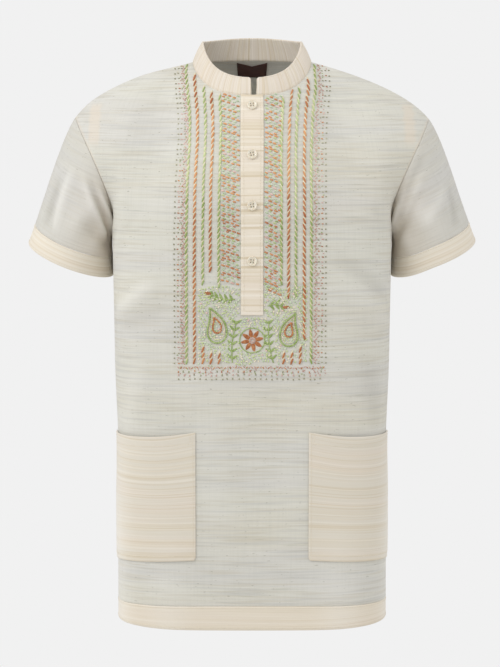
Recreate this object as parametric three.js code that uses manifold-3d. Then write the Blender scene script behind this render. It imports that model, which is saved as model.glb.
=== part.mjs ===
// A short-sleeved fatua, a loose South Asian shirt, in the hollow form it has when worn.
// Millimetres, +Z up, +X to the wearer's left and +Y to the wearer's back, so the front faces -Y.
// The origin is in the middle of the neck, level with its seam at the back. The two neck points,
// where the shoulder seams meet the collar, lie 4 mm lower, and the wearer's shoulders hold the
// garment up there.
//
// Every cloth piece is a wall on a grid of outer points. A body grid has columns that run from the
// hem up over the chest to the neck or the shoulder seam. The panels, the hem bands, the pockets
// and the placket are parts of the two body grids. A sleeve grid starts on the armhole's own points.
import * as THREE from "three";
import { mergeVertices } from "three/addons/utils/BufferGeometryUtils.js";
import Module from "manifold-3d";

const { lerp, clamp, degToRad, smoothstep } = THREE.MathUtils;
const vec = (x, y, z) => new THREE.Vector3(x, y, z);

// ---- Driving dimensions ----

const SEAM_GAP = 0.3; // between two pieces that are sewn together
const CLOTH = 1.5; // one layer of handloom cotton
const BAND_CLOTH = 2; // a turned and pressed band at the hem or a cuff
const PATCH_CLOTH = 1.4; // a pocket or the placket, laid on the front
const COLLAR_CLOTH = 2.4; // two layers and their stiffening

const HEM_Z = -761;
const HEM_BAND = 33;
const HEM_RISE = 17; // how far the hem curves up at the side seams, where its band is narrowest
const HEM_RISE_POWER = 3.2; // how late it starts to, on the way from the centre
const UNDERARM_Z = -229;
const PLACKET_HALF_WIDTH = 14.5;
const PLACKET_FOOT_Z = -339;
const POCKET_MOUTH_Z = -494;
const POCKET_FOOT_Z = -666;
const POCKET_INSET = 75; // from the centre line to a pocket's inner edge
const POCKET_GAPE = 3; // how far the mouth stands off the panel
const POCKET_SAG = 4; // how far the mouth dips between its ends
const POCKET_DROP = 5; // how much lower a pocket's outer edge hangs than its inner one

// The body's level sections: half width, and the reach of the front and the back from the side seams.
// A section is a superellipse, and square is its exponent.
const SECTIONS = [
  { z: HEM_Z, halfWidth: 185, front: 121, back: 119, square: 4.9 },
  { z: -600, halfWidth: 184.5, front: 120, back: 114, square: 5.1 },
  { z: -450, halfWidth: 185.5, front: 119, back: 104, square: 4.8 },
  { z: -320, halfWidth: 187.5, front: 120, back: 106, square: 4.2 },
  { z: UNDERARM_Z, halfWidth: 190, front: 118, back: 112, square: 3.4 },
];

// The collar's two rings: where the collar is sewn on, and its upper edge.
const NECK = { halfWidth: 80, front: 74, back: 50, frontZ: -51.5, sideZ: -4, backZ: 0.5 };
const RIM = { halfWidth: 67, front: 62, back: 45, frontZ: -27, sideZ: 24, backZ: 31 };
const COLLAR_OPENING = 3.5; // from the centre line to each end of the collar
const COLLAR_CORNER = 4.5; // radius of the rounded upper corners
const COLLAR_BOW = 1.2; // how far the band swells between its two rings
const NECK_FALL = 1.35; // how soon both rings drop in front of the shoulders

const SHOULDER_MIDDLE = vec(206, 0, -37.5); // control point of the seam's curve
const SHOULDER_TIP = vec(241, 0, -81);

// The armhole's two halves, as handles from the underarm point and from the shoulder tip.
const ARMHOLE = {
  front: { fromUnderarm: vec(-14, -72, 32), fromTip: vec(-21, -96, -43) },
  back: { fromUnderarm: vec(-14, 80, 34), fromTip: vec(-16, 108, -40) },
};
// How the chest and the upper back leave the underarm level and reach the neck and the shoulders.
const RISE = {
  front: {
    leave: vec(0, -2, 58),
    neckCentre: vec(0, -26, -44),
    neckPoint: vec(27, -33, -24),
    shoulder: vec(3, -46, -9),
  },
  back: {
    leave: vec(0, 6, 72),
    neckCentre: vec(0, 36, -24),
    neckPoint: vec(28, 36, -21),
    shoulder: vec(3, 48, -14),
  },
};
const ARMHOLE_PULL_FROM = 0.5; // share of the half width past which the armhole shapes the columns
const SHOULDER_SETTLED_COLUMN = 12; // from here out the columns meet the shoulder seam alike

const CUFF = { centre: vec(250.5, 2, -271), halfAcross: 60.5, halfDeep: 60, tilt: 21.5, dip: 10.5 };
const CUFF_BAND = 27;
const SLEEVE_LEAVES = { atUnderarm: vec(0.6, 0, -0.8), atTip: vec(0.58, 0, -0.81) };
const SLEEVE_ARRIVES_UNDERARM = vec(-0.04, 0, -1);
const SLEEVE_HANDLES = { atUnderarm: 16, atTip: 38, cuffUnderarm: 24, cuffTop: 58 };

// Soft folds: where the crest lies on the cloth, its width and depth, and the height it fades to.
const BODY_FOLDS = [
  { side: "front", across: -196, width: 26, depth: 4, fadeZ: -330 },
  { side: "front", across: 203, width: 24, depth: 3.5, fadeZ: -380 },
  { side: "front", across: -112, width: 30, depth: 1.8, fadeZ: -560 },
  { side: "front", across: 118, width: 30, depth: 2, fadeZ: -540 },
  { side: "back", across: -168, width: 26, depth: 7, fadeZ: -250 },
  { side: "back", across: -70, width: 30, depth: 5, fadeZ: -330 },
  { side: "back", across: 34, width: 26, depth: 4, fadeZ: -420 },
  { side: "back", across: 120, width: 30, depth: 7, fadeZ: -270 },
  { side: "back", across: 205, width: 24, depth: 5, fadeZ: -360 },
];
// Drag folds on a sleeve, by the angle round the arm from the underarm at the armhole and at the cuff.
const SLEEVE_FOLDS = [
  { from: 26, to: 62, width: 13, depth: 3.2 },
  { from: 58, to: 108, width: 15, depth: 2.4 },
  { from: 330, to: 290, width: 14, depth: 3 },
  { from: 296, to: 236, width: 16, depth: 2.4 },
];

const BUTTON = {
  radius: 6.6,
  backRadius: 5.4,
  wellRadius: 4.7,
  thickness: 2.6,
  wellDepth: 0.5,
  holeRadius: 0.8,
  holeFromCentre: 1.35,
};
const BUTTON_Z = [-66.5, -130, -196, -268];

// The label hangs inside the back of the neck. Its place is in the back grid's columns and rows.
const LABEL = { halfColumns: 1.25, topRow: 0.1, rowsDown: 1.3, thickness: 1 };

// ---- The grid's columns and rows ----

const NECK_COLUMNS = 7; // from the centre line to the neck point
const SHOULDER_COLUMNS = 7; // from the neck point to the shoulder tip
const HALF_COLUMNS = NECK_COLUMNS + SHOULDER_COLUMNS;
const ARMHOLE_ROWS = 12; // on the front and on the back, from the underarm to the shoulder tip
const SLEEVE_ROWS = 8; // from the armhole to the cuff band
const COLLAR_ROWS = 3;
const PLACKET_COLUMN = 1; // the placket's edge lies on this column
const POCKET_COLUMN = 4; // the pockets' inner edges lie on this one
const POCKET_END = 11; // and their outer edges on this one, at the corner of the body
const NECK_COLUMN_ACROSS = 126; // where the neck point's column crosses the lower rows

const BAND_SEAM_Z = HEM_Z + HEM_BAND;
const STATIONS = [
  { z: HEM_Z, rows: 1 },
  { z: BAND_SEAM_Z - SEAM_GAP / 2, rows: 1 },
  { z: BAND_SEAM_Z + SEAM_GAP / 2, rows: 2 },
  { z: POCKET_FOOT_Z, rows: 4 },
  { z: POCKET_MOUTH_Z, rows: 3 },
  { z: PLACKET_FOOT_Z, rows: 4 },
];

// Heights of the rows from the hem to the underarm.
const ROW_Z = STATIONS.flatMap(({ z, rows }, k) => {
  const next = STATIONS[k + 1]?.z ?? UNDERARM_Z;
  return Array.from({ length: rows }, (_, r) => lerp(z, next, r / rows));
}).concat(UNDERARM_Z);
const rowAt = (z) => ROW_Z.indexOf(z);
const UNDERARM_ROW = rowAt(UNDERARM_Z);
const TOP_ROW = UNDERARM_ROW + ARMHOLE_ROWS;

// The value at a place, straight between the pairs of [place, value] on either side of it.
function between(pairs, place) {
  const k = Math.max(1, pairs.findIndex(([next]) => next >= place));
  const [[a, valueA], [b, valueB]] = [pairs[k - 1], pairs[k]];
  return lerp(valueA, valueB, (place - a) / (b - a));
}

// ---- Forms ----

// One size of the body at a height, on a smooth curve through the table's sections.
function sizeAt(z, key) {
  const k = clamp(SECTIONS.findIndex((s) => s.z >= z) - 1, 0, SECTIONS.length - 2);
  const [a, b] = [SECTIONS[k], SECTIONS[k + 1]];
  const slope = (i, j) => (SECTIONS[j][key] - SECTIONS[i][key]) / (SECTIONS[j].z - SECTIONS[i].z);
  const mA = k > 0 ? slope(k - 1, k + 1) : slope(k, k + 1);
  const mB = k + 2 < SECTIONS.length ? slope(k, k + 2) : slope(k, k + 1);
  const [h, t] = [b.z - a.z, (z - a.z) / (b.z - a.z)];
  const [t2, t3] = [t * t, t * t * t];
  return (
    (2 * t3 - 3 * t2 + 1) * a[key] + (t3 - 2 * t2 + t) * h * mA +
    (3 * t2 - 2 * t3) * b[key] + (t3 - t2) * h * mB
  );
}

// Half of a level section, from the right side seam round the front or the back to the left one.
class HalfSection extends THREE.Curve {
  constructor(side, z) {
    super();
    this.z = z;
    this.halfWidth = sizeAt(z, "halfWidth");
    this.reach = sizeAt(z, side) * (side === "front" ? -1 : 1);
    this.square = sizeAt(z, "square");
  }
  getPoint(t) {
    const angle = (t - 0.5) * Math.PI;
    const [s, c] = [Math.sin(angle), Math.max(Math.cos(angle), 0)];
    const r = (Math.abs(s) ** this.square + c ** this.square) ** (-1 / this.square);
    return vec(this.halfWidth * s * r, this.reach * c * r, this.z);
  }
}

// A collar ring's point at an angle from the centre of the front or the back, up to 90 degrees.
function ringPoint(ring, side, angle) {
  const [s, c] = [Math.sin(angle), Math.cos(angle)];
  if (side === "back") return vec(ring.halfWidth * s, ring.back * c, lerp(ring.sideZ, ring.backZ, c * c));
  const fall = c ** NECK_FALL * (NECK_FALL - (NECK_FALL - 1) * c * c);
  return vec(ring.halfWidth * s, -ring.front * c, lerp(ring.sideZ, ring.frontZ, fall));
}

const PLACKET_ANGLE = Math.asin(PLACKET_HALF_WIDTH / NECK.halfWidth);
const neckAngle = (column) =>
  between([[0, 0], [PLACKET_COLUMN, PLACKET_ANGLE], [NECK_COLUMNS, Math.PI / 2]], column);

const shoulderSeam = new THREE.QuadraticBezierCurve3(
  ringPoint(NECK, "front", Math.PI / 2), SHOULDER_MIDDLE, SHOULDER_TIP,
);

// Where a column meets the neck or the shoulder seam. Columns count from the centre, negative to the right.
function headOf(side, column) {
  const k = Math.abs(column);
  const sign = side === "front" ? -1 : 1;
  const p = k <= NECK_COLUMNS
    ? ringPoint(NECK, side, neckAngle(k))
    : shoulderSeam.getPointAt((k - NECK_COLUMNS) / SHOULDER_COLUMNS);
  if (k >= NECK_COLUMNS) p.y += (sign * SEAM_GAP) / 2;
  return p.setX(p.x * Math.sign(column || 1));
}

// The body's lower rows: even steps between the lines of the placket, the pockets and the neck point.
function rowPoint(side, z, column) {
  const row = new HalfSection(side, z);
  const half = row.getLength() / 2;
  const across = between(
    [
      [0, 0],
      [PLACKET_COLUMN, PLACKET_HALF_WIDTH],
      [POCKET_COLUMN, POCKET_INSET],
      [NECK_COLUMNS, NECK_COLUMN_ACROSS],
      [HALF_COLUMNS, half - SEAM_GAP / 2],
    ],
    Math.abs(column),
  );
  return { point: row.getPointAt(0.5 + (Math.sign(column) * across) / half / 2), across };
}

// A column above the underarm, up the chest or the upper back to the neck or the shoulder.
function riseOf(side, column) {
  const k = Math.abs(column);
  const mirror = (v) => v.clone().setX(v.x * Math.sign(column || 1));
  const foot = rowPoint(side, UNDERARM_Z, column).point;
  const head = headOf(side, column);
  const rise = RISE[side];
  const pull = smoothstep(k / HALF_COLUMNS, ARMHOLE_PULL_FROM, 1);
  const leave = rise.leave.clone().lerp(ARMHOLE[side].fromUnderarm, pull);
  const overHead = k <= NECK_COLUMNS
    ? rise.neckCentre.clone().lerp(rise.neckPoint, smoothstep(k, 0, NECK_COLUMNS))
    : rise.neckPoint.clone().lerp(rise.shoulder, smoothstep(k, NECK_COLUMNS, SHOULDER_SETTLED_COLUMN));
  const arrive = overHead.lerp(ARMHOLE[side].fromTip, pull);
  return new THREE.CubicBezierCurve3(
    foot, foot.clone().add(mirror(leave)), head.clone().add(mirror(arrive)), head,
  );
}

function foldDepth(side, across, z) {
  return BODY_FOLDS.filter((f) => f.side === side).reduce(
    (sum, f) =>
      sum +
      f.depth * Math.exp(-(((across - f.across) / f.width) ** 2)) * smoothstep(-z, -f.fadeZ, -HEM_Z),
    0,
  );
}

// ---- Grids and walls ----

// Normals of a grid of outer points, rows of columns. A tube's last column meets its first.
// They point to the left of the rows' direction, seen from the next row; flip turns them round.
function normalsOf(points, tube, flip) {
  const [rows, columns] = [points.length, points[0].length];
  return points.map((row, r) =>
    row.map((_, c) => {
      const step = (d) => (tube ? (c + d + columns) % columns : clamp(c + d, 0, columns - 1));
      const alongRow = row[step(1)].clone().sub(row[step(-1)]);
      const upColumn = points[Math.min(r + 1, rows - 1)][c].clone().sub(points[Math.max(r - 1, 0)][c]);
      return alongRow.cross(upColumn).normalize().multiplyScalar(flip ? -1 : 1);
    }),
  );
}

// A closed wall over a grid, from inner to outer millimetres along the normals.
// Either may be a function of the row and the column.
function wall({ points, normals }, inner, outer, tube = false) {
  const [rows, columns] = [points.length, points[0].length];
  const layer = (by) =>
    points.map((row, r) =>
      row.map((p, c) =>
        p.clone().addScaledVector(normals[r][c], typeof by === "function" ? by(r, c) : by),
      ),
    );
  const [outside, inside] = [layer(outer), layer(inner)];
  const positions = [...outside.flat(), ...inside.flat()].flatMap((p) => p.toArray());
  const at = (side, r, c) => side * rows * columns + r * columns + (c % columns);
  const index = [];
  const quad = (a, b, c, d) => index.push(a, b, c, a, c, d);
  const quadAcross = (a, b, c, d) => index.push(b, c, d, b, d, a);
  for (let r = 0; r < rows - 1; r++) {
    for (let c = 0; c < columns - (tube ? 0 : 1); c++) {
      const corner = (dr, dc) => outside[r + dr][(c + dc) % columns];
      const lean = corner(0, 0).distanceTo(corner(1, 1)) > corner(0, 1).distanceTo(corner(1, 0));
      const put = lean ? quadAcross : quad;
      const putBack = lean ? quad : quadAcross;
      put(at(0, r, c), at(0, r, c + 1), at(0, r + 1, c + 1), at(0, r + 1, c));
      putBack(at(1, r, c + 1), at(1, r, c), at(1, r + 1, c), at(1, r + 1, c + 1));
    }
  }
  for (let c = 0; c < columns - (tube ? 0 : 1); c++) {
    quad(at(1, 0, c), at(1, 0, c + 1), at(0, 0, c + 1), at(0, 0, c));
    quad(at(0, rows - 1, c), at(0, rows - 1, c + 1), at(1, rows - 1, c + 1), at(1, rows - 1, c));
  }
  for (let r = 0; r < rows - 1 && !tube; r++) {
    quad(at(1, r + 1, 0), at(1, r, 0), at(0, r, 0), at(0, r + 1, 0));
    quad(at(0, r + 1, columns - 1), at(0, r, columns - 1), at(1, r, columns - 1), at(1, r + 1, columns - 1));
  }
  return facingOut(positions, index);
}

// A geometry whose faces point out, whichever way round its grid was numbered.
function facingOut(positions, index) {
  const p = (i) => vec(...positions.slice(3 * i, 3 * i + 3));
  let volume = 0;
  for (let i = 0; i < index.length; i += 3) {
    volume += p(index[i]).dot(p(index[i + 1]).cross(p(index[i + 2])));
  }
  if (volume < 0) index.reverse();
  const geometry = new THREE.BufferGeometry();
  geometry.setAttribute("position", new THREE.Float32BufferAttribute(positions, 3));
  geometry.setIndex(index);
  geometry.computeVertexNormals();
  return geometry;
}

const cut = (grid, [r0, r1], [c0, c1]) => ({
  points: grid.points.slice(r0, r1 + 1).map((row) => row.slice(c0, c1 + 1)),
  normals: grid.normals.slice(r0, r1 + 1).map((row) => row.slice(c0, c1 + 1)),
});

// The edges of two sewn pieces share a direction for their thickness where the cloth runs on
// from one to the other, and keep their own where it doubles back in the fold of an underarm.
function sew(pairs, weightOf = () => 1) {
  const shared = pairs.map(([a, b]) => {
    const weight = weightOf(a.dot(b));
    return [
      a.clone().addScaledVector(b, weight).normalize(),
      b.clone().addScaledVector(a, weight).normalize(),
    ];
  });
  pairs.forEach(([a, b], k) => {
    a.copy(shared[k][0]);
    b.copy(shared[k][1]);
  });
}

// ---- The body ----

const COLUMNS = Array.from({ length: 2 * HALF_COLUMNS + 1 }, (_, k) => k - HALF_COLUMNS);
const columnIndex = (column) => column + HALF_COLUMNS;

function bodyGrid(side) {
  const rises = COLUMNS.map((column) => riseOf(side, column));
  const lower = ROW_Z.map((z) => COLUMNS.map((column) => rowPoint(side, z, column)));
  const upper = Array.from({ length: ARMHOLE_ROWS }, (_, r) =>
    rises.map((curve) => curve.getPointAt((r + 1) / ARMHOLE_ROWS)),
  );
  lower[0].forEach(({ point }, c) => {
    point.z += HEM_RISE * (Math.abs(COLUMNS[c]) / HALF_COLUMNS) ** HEM_RISE_POWER;
  });
  const points = [...lower.map((row) => row.map(({ point }) => point)), ...upper];
  const flip = side === "back";
  const flat = normalsOf(points, false, flip);
  lower.forEach((row, r) =>
    row.forEach(({ point, across }, c) => {
      const toSeam = 1 - (Math.abs(COLUMNS[c]) / HALF_COLUMNS) ** 6;
      const signed = across * Math.sign(COLUMNS[c]);
      point.addScaledVector(flat[r][c], toSeam * foldDepth(side, signed, ROW_Z[r]));
    }),
  );
  return { points, normals: normalsOf(points, false, flip) };
}

const front = bodyGrid("front");
const back = bodyGrid("back");

// ---- The sleeves ----

const SLEEVE_SEAM_ROW = SLEEVE_ROWS + 1; // the cuff band's first row
const CUFF_TILT = degToRad(CUFF.tilt);
const ARM_AXIS = vec(Math.sin(CUFF_TILT), 0, -Math.cos(CUFF_TILT));
const RING = 2 * ARMHOLE_ROWS; // columns round a sleeve, from the underarm over the front to the tip

// The armhole's points and the body's normals there, on the wearer's left.
function armhole() {
  const edge = (grid, r) => ({
    point: grid.points[UNDERARM_ROW + r].at(-1),
    normal: grid.normals[UNDERARM_ROW + r].at(-1),
  });
  return Array.from({ length: RING }, (_, k) => {
    const onFront = k <= ARMHOLE_ROWS;
    const own = edge(onFront ? front : back, onFront ? k : RING - k);
    if (k % ARMHOLE_ROWS) return own;
    const other = edge(back, k);
    return {
      point: own.point.clone().add(other.point).multiplyScalar(0.5),
      normal: own.normal.clone().add(other.normal).normalize(),
    };
  });
}

function cuffPoint(angle) {
  const across = -CUFF.halfAcross * Math.cos(angle);
  return CUFF.centre.clone().add(
    vec(
      across * Math.cos(CUFF_TILT),
      -CUFF.halfDeep * Math.sin(angle),
      across * Math.sin(CUFF_TILT) - CUFF.dip * Math.sin(angle),
    ),
  );
}

function sleeveFold(angle, down) {
  return SLEEVE_FOLDS.reduce((sum, f) => {
    const away = THREE.MathUtils.euclideanModulo(angle - lerp(f.from, f.to, down) + 180, 360) - 180;
    return sum + f.depth * Math.exp(-((away / f.width) ** 2)) * Math.sin(Math.PI * clamp(down, 0, 1));
  }, 0);
}

// Shares of a sleeve column's length at which its rows lie, with the band's seam near the cuff.
function sleeveRows(length) {
  const [bandTop, bandSeam] = [length - CUFF_BAND - SEAM_GAP, length - CUFF_BAND];
  const upper = Array.from({ length: SLEEVE_ROWS + 1 }, (_, r) => (r / SLEEVE_ROWS) * bandTop);
  return [...upper, bandSeam, length].map((at) => at / length);
}

function sleeveGrid() {
  const ring = armhole();
  const columns = ring.map(({ point, normal }, k) => {
    const angle = (2 * Math.PI * k) / RING;
    const overTop = (1 - Math.cos(angle)) / 2;
    const leave = SLEEVE_LEAVES.atUnderarm.clone().lerp(SLEEVE_LEAVES.atTip, overTop).normalize();
    const parted = normal.clone().lerp(leave, overTop).normalize();
    const start = point.clone().addScaledVector(parted, SEAM_GAP);
    const end = cuffPoint(angle);
    const arrive = SLEEVE_ARRIVES_UNDERARM.clone().lerp(ARM_AXIS, overTop).normalize();
    const { atUnderarm, atTip, cuffUnderarm, cuffTop } = SLEEVE_HANDLES;
    return new THREE.CubicBezierCurve3(
      start,
      start.clone().addScaledVector(leave, lerp(atUnderarm, atTip, overTop)),
      end.clone().addScaledVector(arrive, -lerp(cuffUnderarm, cuffTop, overTop)),
      end,
    );
  });
  const shares = columns.map((curve) => sleeveRows(curve.getLength()));
  const points = shares[0].map((_, r) => columns.map((curve, k) => curve.getPointAt(shares[k][r])));
  const flat = normalsOf(points, true, true);
  points.forEach((row, r) =>
    row.forEach((p, k) =>
      p.addScaledVector(flat[r][k], sleeveFold((360 * k) / RING, r / SLEEVE_SEAM_ROW)),
    ),
  );
  return { points, normals: normalsOf(points, true, true) };
}

const leftSleeve = sleeveGrid();

// ---- The collar ----

// Round the neck from one end of the collar to the other, in the panels' own columns.
function collarGrid() {
  const corner = [0, 0.4, 1].map((share) => COLLAR_OPENING + share * COLLAR_CORNER);
  const ends = corner.map((x) => ({
    side: "front",
    angle: Math.asin(x / NECK.halfWidth),
    chord: x / PLACKET_HALF_WIDTH,
    drop: COLLAR_CORNER - Math.sqrt(COLLAR_CORNER ** 2 - (COLLAR_CORNER - (x - COLLAR_OPENING)) ** 2),
  }));
  const onColumns = (side, from, to) =>
    Array.from({ length: to - from + 1 }, (_, k) => ({ side, angle: neckAngle(from + k), drop: 0 }));
  const leftHalf = [
    ...ends,
    ...onColumns("front", 1, NECK_COLUMNS),
    ...onColumns("back", 0, NECK_COLUMNS - 1).reverse(),
  ];
  const mirrored = (a) => ({ ...a, mirror: true });
  const posts = [...leftHalf, ...leftHalf.slice(0, -1).reverse().map(mirrored)];
  const baseOf = ({ side, angle, chord }) =>
    chord === undefined
      ? ringPoint(NECK, side, angle)
      : ringPoint(NECK, side, 0).lerp(ringPoint(NECK, side, PLACKET_ANGLE), chord);
  const rimOf = ({ side, angle, chord }, base) => {
    const rim = ringPoint(RIM, side, angle);
    return chord === undefined ? rim : rim.setX(base.x);
  };
  const postPoint = (post, share) => {
    const base = baseOf(post);
    const rim = rimOf(post, base);
    const height = base.distanceTo(rim);
    const up = rim.clone().sub(base).normalize();
    const reach = lerp(SEAM_GAP, height - post.drop, share);
    const outward = vec(base.x, base.y, 0).normalize();
    const bow = COLLAR_BOW * Math.sin(Math.PI * share);
    const p = base.addScaledVector(up, reach).addScaledVector(outward, bow);
    return post.mirror ? p.setX(-p.x) : p;
  };
  const points = Array.from({ length: COLLAR_ROWS + 1 }, (_, r) =>
    posts.map((post) => postPoint(post, r / COLLAR_ROWS)),
  );
  return { points, normals: normalsOf(points, false, false) };
}

const collar = collarGrid();

// ---- Sewing the grids' edges ----

const topNormal = (grid, column) => grid.normals[TOP_ROW][columnIndex(column)];
const sideRows = Array.from({ length: UNDERARM_ROW + 1 }, (_, r) => r);

function sewEverything() {
  const ends = [0, 2 * HALF_COLUMNS];
  const sideSeams = sideRows.flatMap((r) => ends.map((c) => [front.normals[r][c], back.normals[r][c]]));
  const shoulders = COLUMNS.filter((k) => Math.abs(k) >= NECK_COLUMNS).map((k) => [
    topNormal(front, k), topNormal(back, k),
  ]);
  sew([...sideSeams, ...shoulders]);
  const armholeSeam = leftSleeve.normals[0].map((normal, k) => {
    const onFront = k <= ARMHOLE_ROWS;
    const row = UNDERARM_ROW + (onFront ? k : RING - k);
    return [normal, (onFront ? front : back).normals[row].at(-1)];
  });
  sew(armholeSeam, (cosine) => smoothstep(cosine, -0.5, 0.2));
  // the right side mirrors the left
  for (const grid of [front, back]) {
    for (let r = UNDERARM_ROW; r <= TOP_ROW; r++) {
      const n = grid.normals[r].at(-1);
      grid.normals[r][0].set(-n.x, n.y, n.z);
    }
  }
}
sewEverything();

// ---- Buttons and label ----

const wasm = await Module();
wasm.setup();

function solidOf(geometry) {
  const bare = geometry.clone();
  bare.deleteAttribute("normal");
  bare.deleteAttribute("uv");
  const merged = mergeVertices(bare, 1e-3);
  return new wasm.Manifold(
    new wasm.Mesh({
      numProp: 3,
      vertProperties: merged.attributes.position.array,
      triVerts: new Uint32Array(merged.index.array),
    }),
  );
}

function geometryOf(solid) {
  const { vertProperties, triVerts } = solid.getMesh();
  const geometry = new THREE.BufferGeometry();
  geometry.setAttribute("position", new THREE.Float32BufferAttribute(vertProperties, 3));
  geometry.setIndex([...triVerts]);
  return geometry;
}

// A four-hole shell button with a raised rim, its back on y = 0 and its face towards -Y.
function buttonGeometry() {
  const { radius, backRadius, wellRadius, thickness, wellDepth, holeRadius, holeFromCentre } = BUTTON;
  const profile = [
    [0, 0],
    [backRadius, 0],
    [radius, thickness / 2],
    [lerp(wellRadius, radius, 0.8), thickness],
    [wellRadius, thickness - wellDepth],
    [0, thickness - wellDepth],
  ].map(([r, y]) => new THREE.Vector2(r, y));
  let button = solidOf(new THREE.LatheGeometry(profile, 20));
  for (const [sx, sz] of [[1, 1], [1, -1], [-1, 1], [-1, -1]]) {
    const drill = new THREE.CylinderGeometry(holeRadius, holeRadius, 3 * thickness, 6);
    drill.translate(sx * holeFromCentre, 0, sz * holeFromCentre);
    button = button.subtract(solidOf(drill));
  }
  return geometryOf(button).rotateX(Math.PI);
}

// A point on a grid between its rows and columns, moved along the normal.
function onGrid(grid, row, column, by) {
  const [r, c] = [Math.min(Math.floor(row), grid.points.length - 2), Math.floor(column)];
  const [fr, fc] = [row - r, column - c];
  const mix = (a) =>
    a[r][c].clone().lerp(a[r][c + 1], fc).lerp(a[r + 1][c].clone().lerp(a[r + 1][c + 1], fc), fr);
  return mix(grid.points).addScaledVector(mix(grid.normals).normalize(), by);
}

// A grid inside the back panel, for the label.
function labelGrid() {
  const [across, down] = [4, 2];
  const { halfColumns, topRow, rowsDown } = LABEL;
  const points = Array.from({ length: down + 1 }, (_, r) =>
    Array.from({ length: across + 1 }, (_, c) => {
      const row = TOP_ROW - topRow - rowsDown * (1 - r / down);
      const column = columnIndex(lerp(-halfColumns, halfColumns, c / across));
      return onGrid(back, row, column, -CLOTH - SEAM_GAP);
    }),
  );
  return { points, normals: normalsOf(points, false, true) };
}

// ---- The pieces ----

const CENTRE = HALF_COLUMNS;
const WIDE = [0, 2 * HALF_COLUMNS];
const bandRows = [0, rowAt(STATIONS[1].z)];
const panelRows = [rowAt(STATIONS[2].z), TOP_ROW];
const pocketRows = [rowAt(POCKET_FOOT_Z), rowAt(POCKET_MOUTH_Z)];
const overPanel = SEAM_GAP + PATCH_CLOTH;

// A patch on the panel that hangs lower towards the side seam. Its mouth sags and stands a little
// open between its two ends.
function pocketGeometry(patch) {
  const [rows, columns] = [patch.points.length - 1, patch.points[0].length - 1];
  const open = (r, c) => (r / rows) ** 4 * Math.sin((Math.PI * c) / columns);
  const inner = patch.points[0][0].x > 0 ? 0 : columns;
  const drop = (c) => (POCKET_DROP * Math.abs(c - inner)) / columns;
  const points = patch.points.map((row, r) =>
    row.map((p, c) => p.clone().setZ(p.z - POCKET_SAG * open(r, c) - drop(c))),
  );
  const gape = (by) => (r, c) => by + POCKET_GAPE * open(r, c);
  return wall({ points, normals: patch.normals }, gape(SEAM_GAP), gape(overPanel));
}

function mirroredGeometry(geometry) {
  const mirrored = geometry.clone().scale(-1, 1, 1);
  mirrored.setIndex([...mirrored.index.array].reverse());
  return mirrored;
}

const finish = (color, roughness) => new THREE.MeshStandardMaterial({ color, roughness, metalness: 0 });
const SLUB_COTTON = finish(0xd3d3c9, 0.9);
const CREAM_COTTON = finish(0xe6dccb, 0.88);
const SHELL = finish(0xeae4d2, 0.35);
const LABEL_SATIN = finish(0x1c1410, 0.6);

const fatua = new THREE.Group();

function add(name, geometry, material, parent = fatua) {
  const mesh = new THREE.Mesh(geometry, material);
  mesh.name = name;
  parent.add(mesh);
  return mesh;
}

add("front", wall(cut(front, panelRows, WIDE), -CLOTH, 0), SLUB_COTTON);
add("back", wall(cut(back, panelRows, WIDE), -CLOTH, 0), SLUB_COTTON);
add("hem_band_front", wall(cut(front, bandRows, WIDE), -BAND_CLOTH, 0), CREAM_COTTON);
add("hem_band_back", wall(cut(back, bandRows, WIDE), -BAND_CLOTH, 0), CREAM_COTTON);

const wholeRing = [0, RING - 1];
const bandOfSleeve = [SLEEVE_SEAM_ROW, SLEEVE_SEAM_ROW + 1];
const sleeveCloth = wall(cut(leftSleeve, [0, SLEEVE_ROWS], wholeRing), -CLOTH, 0, true);
const cuffCloth = wall(cut(leftSleeve, bandOfSleeve, wholeRing), -BAND_CLOTH, 0, true);
add("sleeve_left", sleeveCloth, SLUB_COTTON);
add("sleeve_right", mirroredGeometry(sleeveCloth), SLUB_COTTON);
add("cuff_band_left", cuffCloth, CREAM_COTTON);
add("cuff_band_right", mirroredGeometry(cuffCloth), CREAM_COTTON);

add("collar", wall(collar, -COLLAR_CLOTH, 0), CREAM_COTTON);

const placketColumns = [CENTRE - PLACKET_COLUMN, CENTRE + PLACKET_COLUMN];
const placketGrid = cut(front, [rowAt(PLACKET_FOOT_Z), TOP_ROW], placketColumns);
add("placket", wall(placketGrid, SEAM_GAP, overPanel), CREAM_COTTON);

for (const [name, columns] of [
  ["pocket_right", [CENTRE - POCKET_END, CENTRE - POCKET_COLUMN]],
  ["pocket_left", [CENTRE + POCKET_COLUMN, CENTRE + POCKET_END]],
]) {
  add(name, pocketGeometry(cut(front, pocketRows, columns)), CREAM_COTTON);
}

BUTTON_Z.forEach((z, k) => {
  const column = placketGrid.points.map((row) => row[PLACKET_COLUMN]);
  const r = column.findIndex((p) => p.z > z) - 1;
  const share = (z - column[r].z) / (column[r + 1].z - column[r].z);
  const seat = onGrid(placketGrid, r + share, PLACKET_COLUMN, overPanel + SEAM_GAP);
  const up = column[r + 1].clone().sub(column[r]);
  const place = new THREE.Group();
  place.position.copy(seat);
  place.rotation.x = Math.atan2(up.y, up.z) * -1;
  fatua.add(place);
  add(`button_${k + 1}`, buttonGeometry(), SHELL, place);
});

add("neck_label", wall(labelGrid(), -LABEL.thickness, 0), LABEL_SATIN);

export default fatua;
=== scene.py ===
import math

import bpy
import numpy as np
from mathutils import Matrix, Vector
from mathutils.bvhtree import BVHTree


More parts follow.
